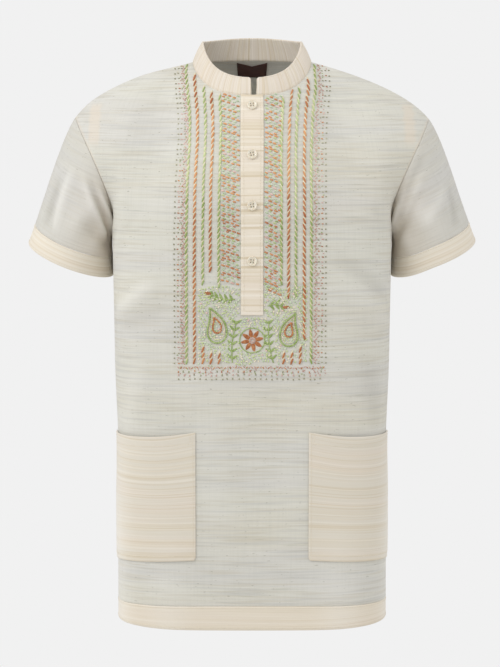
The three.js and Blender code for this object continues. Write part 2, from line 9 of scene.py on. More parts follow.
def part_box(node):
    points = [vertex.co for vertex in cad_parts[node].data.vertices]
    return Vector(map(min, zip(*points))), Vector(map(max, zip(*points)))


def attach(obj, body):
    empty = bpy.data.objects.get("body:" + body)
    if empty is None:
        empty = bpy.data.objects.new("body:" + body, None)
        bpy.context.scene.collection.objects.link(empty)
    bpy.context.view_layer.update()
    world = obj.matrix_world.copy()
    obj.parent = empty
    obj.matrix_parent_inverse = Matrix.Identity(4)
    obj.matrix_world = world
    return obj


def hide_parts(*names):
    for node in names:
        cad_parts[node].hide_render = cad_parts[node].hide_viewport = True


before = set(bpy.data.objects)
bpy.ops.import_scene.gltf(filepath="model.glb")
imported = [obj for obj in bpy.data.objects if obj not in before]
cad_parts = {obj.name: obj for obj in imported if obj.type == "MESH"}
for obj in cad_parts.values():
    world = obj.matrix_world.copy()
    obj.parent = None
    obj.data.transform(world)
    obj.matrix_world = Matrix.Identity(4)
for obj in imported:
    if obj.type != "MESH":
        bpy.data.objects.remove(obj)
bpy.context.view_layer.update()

# A short-sleeved fatua in pale slub cotton, with a cream band collar, placket, pockets and bands,
# and rows of running stitch down the chest. Forms are worked out in millimetres, in the part's own
# frame, and turned to metres where a mesh is made.
MM = 0.001
rng = np.random.default_rng(7)

# ---- Sizes, as the part is built ----

SEAM_GAP = 0.3
CLOTH = 1.5
BAND_CLOTH = 2.0
PATCH_CLOTH = 1.4
COLLAR_CLOTH = 2.4
OVER_PANEL = SEAM_GAP + PATCH_CLOTH

HEM_Z = -761.0
HEM_BAND = 33.0
HEM_RISE = 17.0  # how far the hem curves up at the side seams
HEM_RISE_POWER = 3.2
BAND_SEAM_Z = HEM_Z + HEM_BAND
UNDERARM_Z = -229.0
PLACKET_HALF_WIDTH = 14.5
PLACKET_FOOT_Z = -339.0
POCKET_MOUTH_Z = -494.0
POCKET_FOOT_Z = -666.0
POCKET_INSET = 75.0
POCKET_GAPE = 3.0
POCKET_SAG = 4.0
POCKET_DROP = 5.0

# The body's level sections: height, half width, reach of the front and the back, and squareness.
SECTIONS = {
    "z": (HEM_Z, -600, -450, -320, UNDERARM_Z),
    "half_width": (185, 184.5, 185.5, 187.5, 190),
    "front": (121, 120, 119, 120, 118),
    "back": (119, 114, 104, 106, 112),
    "square": (4.9, 5.1, 4.8, 4.2, 3.4),
}
NECK = {"half_width": 80, "front": 74, "back": 50, "front_z": -51.5, "side_z": -4, "back_z": 0.5}
RIM = {"half_width": 67, "front": 62, "back": 45, "front_z": -27, "side_z": 24, "back_z": 31}
COLLAR_OPENING = 3.5
COLLAR_CORNER = 4.5
COLLAR_BOW = 1.2
COLLAR_TUCK = 1.0  # how far the band's foot laps over the neck's edge
COLLAR_STANDS_OUT = 0.6
COLLAR_OVERLAP = 2.3  # how far the slit lies to the wearer's left of the middle
COLLAR_OVERLAP_FADES = (6, 22)  # and from where to where beside the middle that dies out
NECK_FALL = 1.35
SHOULDER_MIDDLE = (206, 0, -37.5)
SHOULDER_TIP = (241, 0, -81)

# Handles of the curves that rise from the underarm level to the neck, the shoulders and the armhole.
RISE = {
    "front": {
        "leave": (0, -2, 58),
        "neck_centre": (0, -26, -44),
        "neck_point": (27, -33, -24),
        "shoulder": (3, -46, -9),
        "from_underarm": (-14, -72, 32),
        "from_tip": (-21, -96, -43),
    },
    "back": {
        "leave": (0, 6, 72),
        "neck_centre": (0, 36, -24),
        "neck_point": (28, 36, -21),
        "shoulder": (3, 48, -14),
        "from_underarm": (-14, 80, 34),
        "from_tip": (-16, 108, -40),
    },
}
ARMHOLE_PULL_FROM = 0.5
SHOULDER_SETTLED_COLUMN = 12

CUFF = {"centre": (250.5, 2, -271), "half_across": 60.5, "half_deep": 60, "tilt": 21.5, "dip": 10.5}
CUFF_BAND = 27.0
SLEEVE_LEAVES = {"underarm": (0.6, 0, -0.8), "tip": (0.58, 0, -0.81)}
SLEEVE_ARRIVES_UNDERARM = (-0.04, 0, -1)
SLEEVE_HANDLES = {"underarm": 16, "tip": 38, "cuff_underarm": 24, "cuff_top": 58}

# Small shifts as it hangs, in millimetres: the shoulder on the wearer's right and the cuff on the
# wearer's left ride up, the skirt's sides draw in, and each sleeve's inner side settles to the body.
# across is from the middle outward, heights are from below up, and down is below the origin.
SHOULDER_RIDES = {"by": 4.0, "across": (88, 160, 215, 265), "heights": (-200, -90)}
CUFF_RIDES = {"by": 3.2, "across": (205, 250), "down": (170, 250)}
SKIRT_DRAWS_IN = {"by": 3.2, "down": (400, 520), "power": 3}
SLEEVE_SETTLES = {"by": 4.2, "power": 0.7}

# Soft standing folds: the crest's place across the panel, width, depth, and the height it fades to.
BODY_FOLDS = {
    "front": ((-196, 26, 4, -330), (203, 24, 3.5, -380), (-112, 30, 1.8, -560), (118, 30, 2, -540)),
    "back": (
        (-168, 26, 7, -250),
        (-70, 30, 5, -330),
        (34, 26, 4, -420),
        (120, 30, 7, -270),
        (205, 24, 5, -360),
    ),
}
# A sleeve's drag folds: angle round the arm at the armhole and at the cuff, width and depth.
SLEEVE_FOLDS = ((26, 62, 13, 3.2), (58, 108, 15, 2.4), (330, 290, 14, 3), (296, 236, 16, 2.4))

# Creases in the cut cloth: from and to, each as millimetres across from the middle and up, then
# the width and the depth. A ridge has a depth above nought, a trough one below it.
BODY_CREASES = {
    "front": (
        ((-200, -344), (-124, -296), 12, 3.6),
        ((-194, -366), (-96, -322), 15, -1.8),
        ((198, -326), (100, -258), 13, -2.2),
        ((204, -352), (112, -298), 16, 1.7),
        ((-214, -268), (-168, -206), 9, 1.8),
        ((-196, -250), (-150, -196), 9, -1.2),
        ((214, -262), (172, -200), 9, 1.6),
        ((198, -246), (158, -188), 9, -1.3),
        ((-58, -440), (-36, -700), 24, 1.2),
        ((66, -430), (44, -690), 26, 1.1),
        ((-146, -398), (-172, -500), 16, 1.8),
        ((150, -392), (176, -500), 16, -2.0),
        ((-60, -398), (-100, -470), 20, 1.6),
        ((40, -410), (110, -380), 18, 1.4),
        ((-20, -430), (70, -452), 20, -0.7),
        ((-140, -692), (-60, -722), 14, 0.8),
        ((60, -700), (150, -718), 14, 0.8),
        ((-205, -560), (-190, -690), 12, 1.4),
        ((205, -540), (196, -680), 12, 1.4),
    ),
    "back": (
        ((-200, -352), (-116, -300), 14, 2.6),
        ((-196, -386), (-90, -330), 18, -1.8),
        ((198, -338), (108, -282), 14, 2.4),
        ((204, -372), (96, -318), 18, -2.0),
        ((-60, -396), (70, -410), 22, 1.4),
        ((-84, -430), (52, -446), 20, -1.6),
        ((-214, -262), (-164, -196), 10, 2.0),
        ((214, -258), (168, -190), 10, 2.0),
        ((-24, -470), (-40, -716), 24, -1.6),
        ((80, -450), (96, -700), 24, -1.8),
        ((-120, -520), (-108, -720), 18, 1.6),
        ((20, -90), (-90, -110), 22, 1.0),
        ((-10, -150), (96, -132), 24, -1.0),
    ),
}
# The shares of its length where a crease fades in, is full, starts to fade and is gone.
CREASE_ENDS = (-0.15, 0.3, 0.6, 1.15)
# A sleeve's creases in the same way, by angle round the arm and millimetres up from the cuff's edge.
SLEEVE_CREASES = {
    "right": (
        ((14, 58), (78, 118), 6, 5.0),
        ((26, 56), (96, 124), 6, -5.0),
        ((40, 62), (104, 122), 7, 4.4),
        ((20, 40), (84, 66), 8, -2.6),
        ((116, 36), (126, 128), 8, 4.4),
        ((138, 34), (148, 112), 10, -3.2),
        ((346, 58), (292, 112), 9, 3.2),
        ((328, 44), (268, 86), 10, -2.8),
        ((236, 40), (222, 118), 10, 2.8),
    ),
    "left": (
        ((14, 56), (72, 112), 6, 4.6),
        ((30, 50), (96, 108), 7, -4.4),
        ((48, 66), (112, 132), 8, 4.0),
        ((62, 92), (126, 150), 9, -2.8),
        ((80, 58), (142, 96), 10, 2.4),
        ((130, 30), (148, 96), 9, -2.6),
        ((342, 52), (286, 118), 9, 3.2),
        ((318, 60), (258, 96), 10, -2.8),
        ((228, 36), (214, 124), 10, 2.8),
    ),
}

# ---- The grids' columns and rows ----

# The part's columns, counted from the middle of a panel out to where each thing's edge lies.
NECK_COLUMN = 7
END_COLUMN = 14
PLACKET_COLUMN = 1
POCKET_COLUMN = 4
POCKET_END = 11
NECK_COLUMN_ACROSS = 126.0
COLUMN_STEPS = 5  # fine columns to each of the part's
CHEST_COLUMN = 5  # the column whose height the level weft is read off
WEFT_WANDER = {"by": 0.9, "across": 43, "up": 61}  # how far the weft strays, and its waves' lengths
RISE_ROWS = 48  # fine rows from the underarm to the neck and the shoulder
PART_RISE_ROWS = 12
ROW_STEP = 4.2
OUTLINE_STEPS = 720  # steps of a level outline, before it is shared out in columns
SEAM_STEPS = 200
# How the cloth below the corner of the neck is evened out: the rows where that fades in and out,
# counted from the underarm and from the top, the columns away from the corner, and the rounds.
NECK_EASE = {"full_after": 14, "ends_before_top": (12, 2), "away": (1.2, 3.6), "rounds": 24}
STILL_SEAM_POWER = 6  # the higher, the closer to the side seams the creases reach
STILL_TOP_ROWS = 10  # rows below the neck and the shoulder over which the creases die out
COLUMNS = np.linspace(-END_COLUMN, END_COLUMN, 2 * END_COLUMN * COLUMN_STEPS + 1)
LOWER_Z = np.linspace(HEM_Z, UNDERARM_Z, round((UNDERARM_Z - HEM_Z) / ROW_STEP) + 1)
UNDERARM_ROW = len(LOWER_Z) - 1
TOP_ROW = UNDERARM_ROW + RISE_ROWS


def smoothstep(x, low, high):
    t = np.clip((x - low) / (high - low), 0, 1)
    return t * t * (3 - 2 * t)


def between(value, fade_in, full, still_full, gone):
    """1 between the two middle values, and 0 before the first and past the last."""
    return smoothstep(value, fade_in, full) * (1 - smoothstep(value, still_full, gone))


def lerp(a, b, t):
    return np.asarray(a, float) * (1 - t) + np.asarray(b, float) * t


def unit(v):
    return v / np.maximum(np.linalg.norm(v, axis=-1, keepdims=True), 1e-9)


# ---- Forms ----


def size_at(z, key):
    """One size of the body at each height, on a smooth curve through the table's sections."""
    zs, sizes = np.array(SECTIONS["z"], float), np.array(SECTIONS[key], float)
    slopes = np.empty(len(zs))
    slopes[1:-1] = (sizes[2:] - sizes[:-2]) / (zs[2:] - zs[:-2])
    slopes[0] = (sizes[1] - sizes[0]) / (zs[1] - zs[0])
    slopes[-1] = (sizes[-1] - sizes[-2]) / (zs[-1] - zs[-2])
    k = np.clip(np.searchsorted(zs, z, side="left") - 1, 0, len(zs) - 2)
    h = zs[k + 1] - zs[k]
    t = (z - zs[k]) / h
    t2, t3 = t * t, t * t * t
    return (
        (2 * t3 - 3 * t2 + 1) * sizes[k]
        + (t3 - 2 * t2 + t) * h * slopes[k]
        + (3 * t2 - 2 * t3) * sizes[k + 1]
        + (t3 - t2) * h * slopes[k + 1]
    )


def level_row(side, z, columns):
    """Points and places across of a lower row, at a panel's columns."""
    half_width, square = size_at(z, "half_width"), size_at(z, "square")
    reach = size_at(z, side) * (-1 if side == "front" else 1)
    angle = np.linspace(-np.pi / 2, np.pi / 2, OUTLINE_STEPS + 1)
    s, c = np.sin(angle), np.maximum(np.cos(angle), 0)
    r = (np.abs(s) ** square + c**square) ** (-1 / square)
    outline = np.stack([half_width * s * r, reach * c * r, np.full_like(s, z)], axis=1)
    length = np.append(0, np.cumsum(np.linalg.norm(np.diff(outline, axis=0), axis=1)))
    half = length[-1] / 2
    places = (0, PLACKET_HALF_WIDTH, POCKET_INSET, NECK_COLUMN_ACROSS, half - SEAM_GAP / 2)
    lines = (0, PLACKET_COLUMN, POCKET_COLUMN, NECK_COLUMN, END_COLUMN)
    across = np.interp(np.abs(columns), lines, places) * np.sign(columns)
    points = np.stack([np.interp(half + across, length, outline[:, k]) for k in range(3)], axis=1)
    return points, across


def ring_point(ring, side, angle):
    """Points of the neck's or the rim's ring, by angles from the centre of the front or back."""
    s, c = np.sin(angle), np.cos(angle)
    if side == "back":
        y, z = ring["back"] * c, lerp(ring["side_z"], ring["back_z"], c * c)
    else:
        fall = np.maximum(c, 0) ** NECK_FALL * (NECK_FALL - (NECK_FALL - 1) * c * c)
        y, z = -ring["front"] * c, lerp(ring["side_z"], ring["front_z"], fall)
    return np.stack([ring["half_width"] * s, y, z], axis=-1)


PLACKET_ANGLE = math.asin(PLACKET_HALF_WIDTH / NECK["half_width"])


def neck_angle(column):
    return np.interp(column, (0, PLACKET_COLUMN, NECK_COLUMN), (0, PLACKET_ANGLE, np.pi / 2))


def evenly(curves, shares):
    """Points at shares of each curve's length. curves has steps, curves, coordinates."""
    steps = np.linalg.norm(np.diff(curves, axis=0), axis=2)
    length = np.concatenate([np.zeros((1, steps.shape[1])), np.cumsum(steps, axis=0)])
    made = np.empty((len(shares), curves.shape[1], 3))
    for k in range(curves.shape[1]):
        wanted = (shares[:, k] if shares.ndim == 2 else shares) * length[-1, k]
        for axis in range(3):
            made[:, k, axis] = np.interp(wanted, length[:, k], curves[:, k, axis])
    return made


def bezier(a, b, c, d, steps=120):
    t = np.linspace(0, 1, steps + 1)[:, None, None]
    return (1 - t) ** 3 * a + 3 * (1 - t) ** 2 * t * b + 3 * (1 - t) * t * t * c + t**3 * d


def shoulder_seam(shares):
    start = ring_point(NECK, "front", np.array(np.pi / 2))
    middle, tip = np.array(SHOULDER_MIDDLE), np.array(SHOULDER_TIP)
    t = np.linspace(0, 1, SEAM_STEPS + 1)[:, None]
    curve = (1 - t) ** 2 * start + 2 * (1 - t) * t * middle + t * t * tip
    return evenly(curve[:, None, :], shares)[:, 0]


def heads(side):
    """Where each column meets the neck or the shoulder seam."""
    k = np.abs(COLUMNS)
    over_neck = k <= NECK_COLUMN
    points = ring_point(NECK, side, neck_angle(k))
    points[~over_neck] = shoulder_seam((k[~over_neck] - NECK_COLUMN) / (END_COLUMN - NECK_COLUMN))
    sign = -1 if side == "front" else 1
    points[k >= NECK_COLUMN - 1e-9, 1] += sign * SEAM_GAP / 2
    points[:, 0] *= np.where(COLUMNS < 0, -1, 1)
    return points


def rises(side, foot):
    """Each column's curve from the underarm level up the chest or the upper back."""
    k = np.abs(COLUMNS)[:, None]
    rise = {name: np.array(v, float) for name, v in RISE[side].items()}
    pull = smoothstep(k / END_COLUMN, ARMHOLE_PULL_FROM, 1)
    leave = lerp(rise["leave"], rise["from_underarm"], pull)
    near_neck = lerp(rise["neck_centre"], rise["neck_point"], smoothstep(k, 0, NECK_COLUMN))
    on_shoulder = lerp(
        rise["neck_point"], rise["shoulder"], smoothstep(k, NECK_COLUMN, SHOULDER_SETTLED_COLUMN)
    )
    arrive = lerp(np.where(k <= NECK_COLUMN, near_neck, on_shoulder), rise["from_tip"], pull)
    mirror = np.stack([np.where(COLUMNS < 0, -1, 1), np.ones_like(COLUMNS), np.ones_like(COLUMNS)], axis=1)
    head = heads(side)
    return bezier(foot, foot + leave * mirror, head + arrive * mirror, head)


def normals_of(points, around=False, flip=False):
    if around:
        along = np.roll(points, -1, axis=1) - np.roll(points, 1, axis=1)
    else:
        along = np.gradient(points, axis=1)
    return unit(np.cross(along, np.gradient(points, axis=0))) * (-1 if flip else 1)


def hung(points):
    """The whole shirt's hang: a shoulder and a cuff ride a little higher, and the skirt draws in."""
    x, z = points[..., 0], points[..., 2]
    shoulder, cuff, skirt = SHOULDER_RIDES, CUFF_RIDES, SKIRT_DRAWS_IN
    moved = points.copy()
    moved[..., 2] += shoulder["by"] * between(-x, *shoulder["across"]) * smoothstep(z, *shoulder["heights"])
    moved[..., 2] += cuff["by"] * smoothstep(x, *cuff["across"]) * smoothstep(-z, *cuff["down"])
    to_side = np.clip(x / SECTIONS["half_width"][0], -1, 1)
    moved[..., 0] -= skirt["by"] * smoothstep(-z, *skirt["down"]) * to_side ** skirt["power"]
    return moved


class Cloth:
    """A fine grid of a cloth's outer points in millimetres, with its normals and its flat places.
    A flat place is how far across and how far up, and a third number says how far folds raise it."""

    def __init__(self, points, flat, normals):
        self.points, self.flat, self.normals = points, flat, normals

    def patch(self, rows, columns):
        """The cloth at grid places, each a row and a column with fractions: a list of each, or tables."""
        rows = rows[:, None] if rows.ndim == 1 else rows
        rows, columns = np.broadcast_arrays(rows, columns)
        r = np.clip(np.floor(rows).astype(int), 0, self.points.shape[0] - 2)
        c = np.clip(np.floor(columns).astype(int), 0, self.points.shape[1] - 2)
        fr, fc = (rows - r)[:, :, None], (columns - c)[:, :, None]

        def mixed(v):
            low = v[r, c] * (1 - fc) + v[r, c + 1] * fc
            high = v[r + 1, c] * (1 - fc) + v[r + 1, c + 1] * fc
            return low * (1 - fr) + high * fr

        return Cloth(mixed(self.points), mixed(self.flat), unit(mixed(self.normals)))

    def lifted(self, by):
        by = np.broadcast_to(by, self.points.shape[:2])[:, :, None]
        return Cloth(self.points + self.normals * by, self.flat, self.normals)

    def mirrored(self):
        over = np.array([-1.0, 1, 1])
        return Cloth(self.points * over, self.flat, self.normals * over)

    def at(self, row, column):
        """One point of the cloth and its normal."""
        spot = self.patch(np.array([row], float), np.array([column], float))
        return spot.points[0, 0], spot.normals[0, 0]

    def cut(self, widest=slice(None)):
        """Width and length of the cloth laid flat, and its area, in metres. widest says which rows
        the width is taken from."""
        across = np.linalg.norm(np.diff(self.points[widest], axis=1), axis=2).sum(axis=1).max()
        up = np.linalg.norm(np.diff(self.points, axis=0), axis=2).sum(axis=0).max()
        p = self.points
        halves = np.linalg.norm(np.cross(p[1:, :-1] - p[:-1, :-1], p[:-1, 1:] - p[:-1, :-1]), axis=2)
        others = np.linalg.norm(np.cross(p[1:, 1:] - p[1:, :-1], p[1:, 1:] - p[:-1, 1:]), axis=2)
        return across * MM, up * MM, (halves.sum() + others.sum()) / 2 * MM * MM


def crease(flat, creases, scale=(1, 1)):
    """How far each place of a flat cloth is raised by the creases in a table."""
    raised = np.zeros(flat.shape[:2])
    place = flat[:, :, :2] * np.array(scale)
    for start, end, width, depth in creases:
        a, b = np.array(start) * scale, np.array(end) * scale
        along = ((place - a) @ (b - a)) / ((b - a) @ (b - a))
        away = np.linalg.norm(place - (a + np.clip(along, 0, 1)[:, :, None] * (b - a)), axis=2)
        raised += depth * np.exp(-((away / width) ** 2)) * between(along, *CREASE_ENDS)
    return raised


# ---- The body ----


def ease_neck_corner(points):
    """The cloth below the corner of the neck evens out a little across, less towards its edges."""
    rows = np.arange(len(points))[:, None]
    ends = [TOP_ROW - before for before in NECK_EASE["ends_before_top"]]
    share = between(rows, UNDERARM_ROW, UNDERARM_ROW + NECK_EASE["full_after"], *ends)
    away = np.abs(np.abs(COLUMNS) - NECK_COLUMN)[None]
    weight = (share * (1 - smoothstep(away, *NECK_EASE["away"])))[:, 1:-1, None]
    for _ in range(NECK_EASE["rounds"]):
        points[:, 1:-1] += weight * ((points[:, :-2] + points[:, 2:]) / 2 - points[:, 1:-1])
    return points


def body_panel(side):
    rows = [level_row(side, z, COLUMNS) for z in LOWER_Z]
    lower = np.stack([points for points, _ in rows])
    across = np.stack([places for _, places in rows])
    shares = np.arange(1, RISE_ROWS + 1) / RISE_ROWS
    upper = evenly(rises(side, lower[-1]), shares)
    in_band = np.clip((BAND_SEAM_Z - LOWER_Z) / HEM_BAND, 0, 1)[:, None]
    lower[:, :, 2] += in_band * HEM_RISE * (np.abs(COLUMNS) / END_COLUMN) ** HEM_RISE_POWER
    points = ease_neck_corner(np.concatenate([lower, upper]))
    flip = side == "back"
    normals = normals_of(points, flip=flip)

    centre = len(COLUMNS) // 2
    steps = np.linalg.norm(np.diff(points, axis=1), axis=2)
    placed = np.concatenate([np.zeros((len(points), 1)), np.cumsum(steps, axis=1)], axis=1)
    flat_across = placed - placed[:, centre : centre + 1]
    risen = np.cumsum(np.linalg.norm(np.diff(points[UNDERARM_ROW:], axis=0), axis=2), axis=0)
    flat_up = np.concatenate([np.repeat(LOWER_Z[:, None], len(COLUMNS), axis=1), UNDERARM_Z + risen])
    flat = np.stack([flat_across, flat_up], axis=2)

    raised = crease(flat, BODY_CREASES[side])
    for crest, width, depth, fade_z in BODY_FOLDS[side]:
        grow = smoothstep(-LOWER_Z, -fade_z, -HEM_Z)[:, None]
        raised[: len(LOWER_Z)] += depth * np.exp(-(((across - crest) / width) ** 2)) * grow
    to_seam = 1 - (np.abs(COLUMNS) / END_COLUMN) ** STILL_SEAM_POWER
    down_from_top = smoothstep(TOP_ROW - np.arange(len(points)), 0, STILL_TOP_ROWS)[:, None]
    raised = (raised * to_seam * down_from_top)[:, :, None]
    points = hung(points + normals * raised)

    # the weft lies level when worn, so its place up the cloth is read off one column of the chest
    chest = centre + CHEST_COLUMN * COLUMN_STEPS
    heights, lengths = points[:, chest, 2], flat_up[:, chest]
    beyond = np.maximum(points[:, :, 2] - heights[-1], 0)
    flat[UNDERARM_ROW:, :, 1] = np.interp(points[:, :, 2], heights, lengths)[UNDERARM_ROW:]
    waves = np.sin(flat_across / WEFT_WANDER["across"] + flat[:, :, 1] / WEFT_WANDER["up"])
    flat[:, :, 1] += beyond + WEFT_WANDER["by"] * waves
    return Cloth(points, np.concatenate([flat, raised], axis=2), normals_of(points, flip=flip))


front, back = body_panel("front"), body_panel("back")


def share_normals(rows, columns):
    """Where the two panels are sewn they lean the same way, so that their thickness meets."""
    both = unit(front.normals[rows, columns] + back.normals[rows, columns])
    front.normals[rows, columns] = back.normals[rows, columns] = both


for end in (0, -1):
    share_normals(slice(0, UNDERARM_ROW + 1), end)
share_normals(-1, np.abs(COLUMNS) >= NECK_COLUMN - 1e-9)

# ---- The sleeves ----

RING = 2 * RISE_ROWS  # columns round a sleeve, from the underarm over the front to the tip
SLEEVE_STEPS = 40  # rows from the armhole to the cuff band
CUFF_STEPS = 6  # rows of the cuff band
ARM_RADIUS = 60.0
CUFF_TILT = math.radians(CUFF["tilt"])
ARM_AXIS = np.array([math.sin(CUFF_TILT), 0, -math.cos(CUFF_TILT)])


def armhole():
    """The armhole's points and the body's normals there, on the wearer's left."""
    up = slice(UNDERARM_ROW, TOP_ROW + 1)
    f, b = front.points[up, -1], back.points[up, -1]
    fn, bn = front.normals[up, -1], back.normals[up, -1]
    underarm, tip = (f[0] + b[0]) / 2, (f[-1] + b[-1]) / 2
    points = np.concatenate([[underarm], f[1:-1], [tip], b[-2:0:-1]])
    normals = np.concatenate([[unit(fn[0] + bn[0])], fn[1:-1], [unit(fn[-1] + bn[-1])], bn[-2:0:-1]])
    return points, normals


def cuff_ring(angle):
    across = -CUFF["half_across"] * np.cos(angle)
    offset = np.stack(
        [
            across * math.cos(CUFF_TILT),
            -CUFF["half_deep"] * np.sin(angle),
            across * math.sin(CUFF_TILT) - CUFF["dip"] * np.sin(angle),
        ],
        axis=1,
    )
    return np.array(CUFF["centre"], float) + offset


def inner_side(angle):
    """How far a place round the arm faces the body, from 0 to 1 under the arm."""
    return ((1 + np.cos(angle)) / 2) ** 2


def sleeve(hand):
    """A sleeve on the wearer's left from the armhole to the cuff, with one hand's own creases."""
    ring, ring_normals = armhole()
    angle = 2 * np.pi * np.arange(RING) / RING
    over_top = ((1 - np.cos(angle)) / 2)[:, None]
    leave = unit(lerp(SLEEVE_LEAVES["underarm"], SLEEVE_LEAVES["tip"], over_top))
    start = ring + SEAM_GAP * unit(lerp(ring_normals, leave, over_top))
    end = cuff_ring(angle)
    arrive = unit(lerp(SLEEVE_ARRIVES_UNDERARM, ARM_AXIS, over_top))
    h = SLEEVE_HANDLES
    curves = bezier(
        start,
        start + leave * lerp(h["underarm"], h["tip"], over_top),
        end - arrive * lerp(h["cuff_underarm"], h["cuff_top"], over_top),
        end,
    )
    lengths = np.linalg.norm(np.diff(curves, axis=0), axis=2).sum(axis=0)
    upper = np.linspace(0, 1, SLEEVE_STEPS + 1)[:, None] * (lengths - CUFF_BAND - SEAM_GAP)
    band = lengths - CUFF_BAND * np.linspace(1, 0, CUFF_STEPS + 1)[:, None]
    down = np.concatenate([upper, band])
    points = evenly(curves, down / lengths)
    around = np.broadcast_to(np.degrees(angle), down.shape)
    flat = np.stack([around, lengths - down], axis=2)
    normals = normals_of(points, around=True, flip=True)

    share = np.clip(np.arange(len(down)) / (SLEEVE_STEPS + 1), 0, 1)[:, None]
    raised = np.zeros(down.shape)
    for at_armhole, at_cuff, width, depth in SLEEVE_FOLDS:
        away = (around - lerp(at_armhole, at_cuff, share) + 180) % 360 - 180
        raised += depth * np.exp(-((away / width) ** 2)) * np.sin(np.pi * share)
    degrees_to_mm = math.radians(1) * ARM_RADIUS
    from_seams = between(share, 0, 0.12, 0.85, 1)
    raised += crease(flat, SLEEVE_CREASES[hand], (degrees_to_mm, 1)) * from_seams
    points = points + normals * raised[:, :, None]
    towards_cuff = np.linspace(0, 1, len(down))[:, None] ** SLEEVE_SETTLES["power"]
    points[:, :, 0] -= SLEEVE_SETTLES["by"] * towards_cuff * inner_side(angle)
    normals = normals_of(points, around=True, flip=True)
    body_lean = (ring_normals * normals[0]).sum(axis=1, keepdims=True)
    normals[0] = unit(normals[0] + ring_normals * smoothstep(body_lean, -0.5, 0.2))
    flat = np.concatenate([flat * np.array([degrees_to_mm, 1]), raised[:, :, None]], axis=2)
    return Cloth(points, flat, normals)


# ---- The collar ----


def collar_band(rows=12):
    """Round the neck, from the end on the wearer's left round the back to the other end."""
    corner = COLLAR_OPENING + COLLAR_CORNER * (1 - np.cos(np.linspace(0, np.pi / 2, 7)))
    flat_front = np.linspace(corner[-1], PLACKET_HALF_WIDTH, 4)[1:]
    x = np.concatenate([corner, flat_front])
    drop = COLLAR_CORNER - np.sqrt(np.maximum(COLLAR_CORNER**2 - np.maximum(corner[-1] - x, 0) ** 2, 0))
    chord = (x / PLACKET_HALF_WIDTH)[:, None]
    centre, side = ring_point(NECK, "front", np.array([0.0, PLACKET_ANGLE]))
    front_base = lerp(centre, side, chord)
    front_rim = ring_point(RIM, "front", np.arcsin(x / NECK["half_width"]))
    front_rim[:, 0] = x
    k = np.arange(PLACKET_COLUMN, NECK_COLUMN + 0.01, 1 / COLUMN_STEPS)[1:]
    back_k = np.arange(0, NECK_COLUMN, 1 / COLUMN_STEPS)[::-1]

    def whole_ring(start, ring):
        side, behind = ring_point(ring, "front", neck_angle(k)), ring_point(ring, "back", neck_angle(back_k))
        return np.concatenate([start, side, behind])

    base, rim = whole_ring(front_base, NECK), whole_ring(front_rim, RIM)
    drop = np.concatenate([drop, np.zeros(len(base) - len(drop))])
    over = np.array([-1.0, 1, 1])
    base, rim = (np.concatenate([ring, (ring * over)[-2::-1]]) for ring in (base, rim))
    drop = np.concatenate([drop, drop[-2::-1]])

    height = np.linalg.norm(rim - base, axis=1, keepdims=True)
    outward = unit(base * np.array([1, 1, 0]))
    share = np.concatenate([[0, 0.01], np.linspace(0, 1, rows + 1)[1:-1], [0.97, 0.99, 1]])
    share = share[:, None, None]
    reach = lerp(-COLLAR_TUCK, height - drop[:, None], share)
    swell = COLLAR_BOW * np.sin(np.pi * share) + COLLAR_STANDS_OUT * (1 - share)
    points = base + unit(rim - base) * reach + outward * swell
    # the buttonhole side lies a little over the centre line
    near_slit = (1 - smoothstep(np.abs(points[:, :, 0]), *COLLAR_OVERLAP_FADES)) * (points[:, :, 1] < 0)
    points[:, :, 0] += COLLAR_OVERLAP * near_slit
    steps = np.linalg.norm(np.diff(base, axis=0), axis=1)
    around = np.broadcast_to(np.append(0, np.cumsum(steps)), points.shape[:2])
    up = np.broadcast_to(reach[:, :, 0], points.shape[:2])
    return Cloth(points, np.stack([up, around], axis=2), normals_of(points))


# ---- Meshes ----


def spread(first, last, near):
    """Grid places from first to last, with closer ones at both ends for a rounded edge."""
    whole = np.arange(math.ceil(first + near * 1.5), math.floor(last - near * 1.5) + 1)
    close = np.array([0, near / 4, near])
    return np.concatenate([first + close, whole, last - close[::-1]])


def mesh_piece(name, vertices, faces, material, flat):
    """A smooth object from metres. flat is each vertex's place on the flat cloth."""
    mesh = bpy.data.meshes.new(name)
    mesh.from_pydata(vertices.tolist(), [], faces)
    mesh.materials.append(material)
    mesh.polygons.foreach_set("use_smooth", [True] * len(mesh.polygons))
    loops = np.empty(len(mesh.loops), int)
    mesh.loops.foreach_get("vertex_index", loops)
    mesh.uv_layers.new(name="cloth").data.foreach_set("uv", flat[loops].ravel())
    mesh.update()
    piece = bpy.data.objects.new(name, mesh)
    bpy.context.scene.collection.objects.link(piece)
    return piece


def number_on(piece, name, values):
    """A number for each vertex of a piece, which its finish reads."""
    piece.data.attributes.new(name, "FLOAT", "POINT").data.foreach_set("value", np.ravel(values))


def on_both_faces(values):
    """A number for each point of a cloth, as its shell has it, outside and inside."""
    return np.tile(np.ravel(values), 2)


def distance_to_edges(points, around):
    """Millimetres from each point to the nearest edge of its cloth, along the rows and columns."""
    up = np.linalg.norm(np.diff(points, axis=0), axis=2)
    below = np.concatenate([np.zeros((1, points.shape[1])), np.cumsum(up, axis=0)])
    away = np.minimum(below, below[-1] - below)
    if not around:
        across = np.linalg.norm(np.diff(points, axis=1), axis=2)
        before = np.concatenate([np.zeros((points.shape[0], 1)), np.cumsum(across, axis=1)], axis=1)
        away = np.minimum(away, np.minimum(before, before[:, -1:] - before))
    return away


def grid_faces(rows, columns, around, first=0, turned=False):
    faces = []
    for r in range(rows - 1):
        for c in range(columns if around else columns - 1):
            a, b = first + r * columns + c, first + r * columns + (c + 1) % columns
            quad = (a, b, b + columns, a + columns)
            faces.append(quad[::-1] if turned else quad)
    return faces


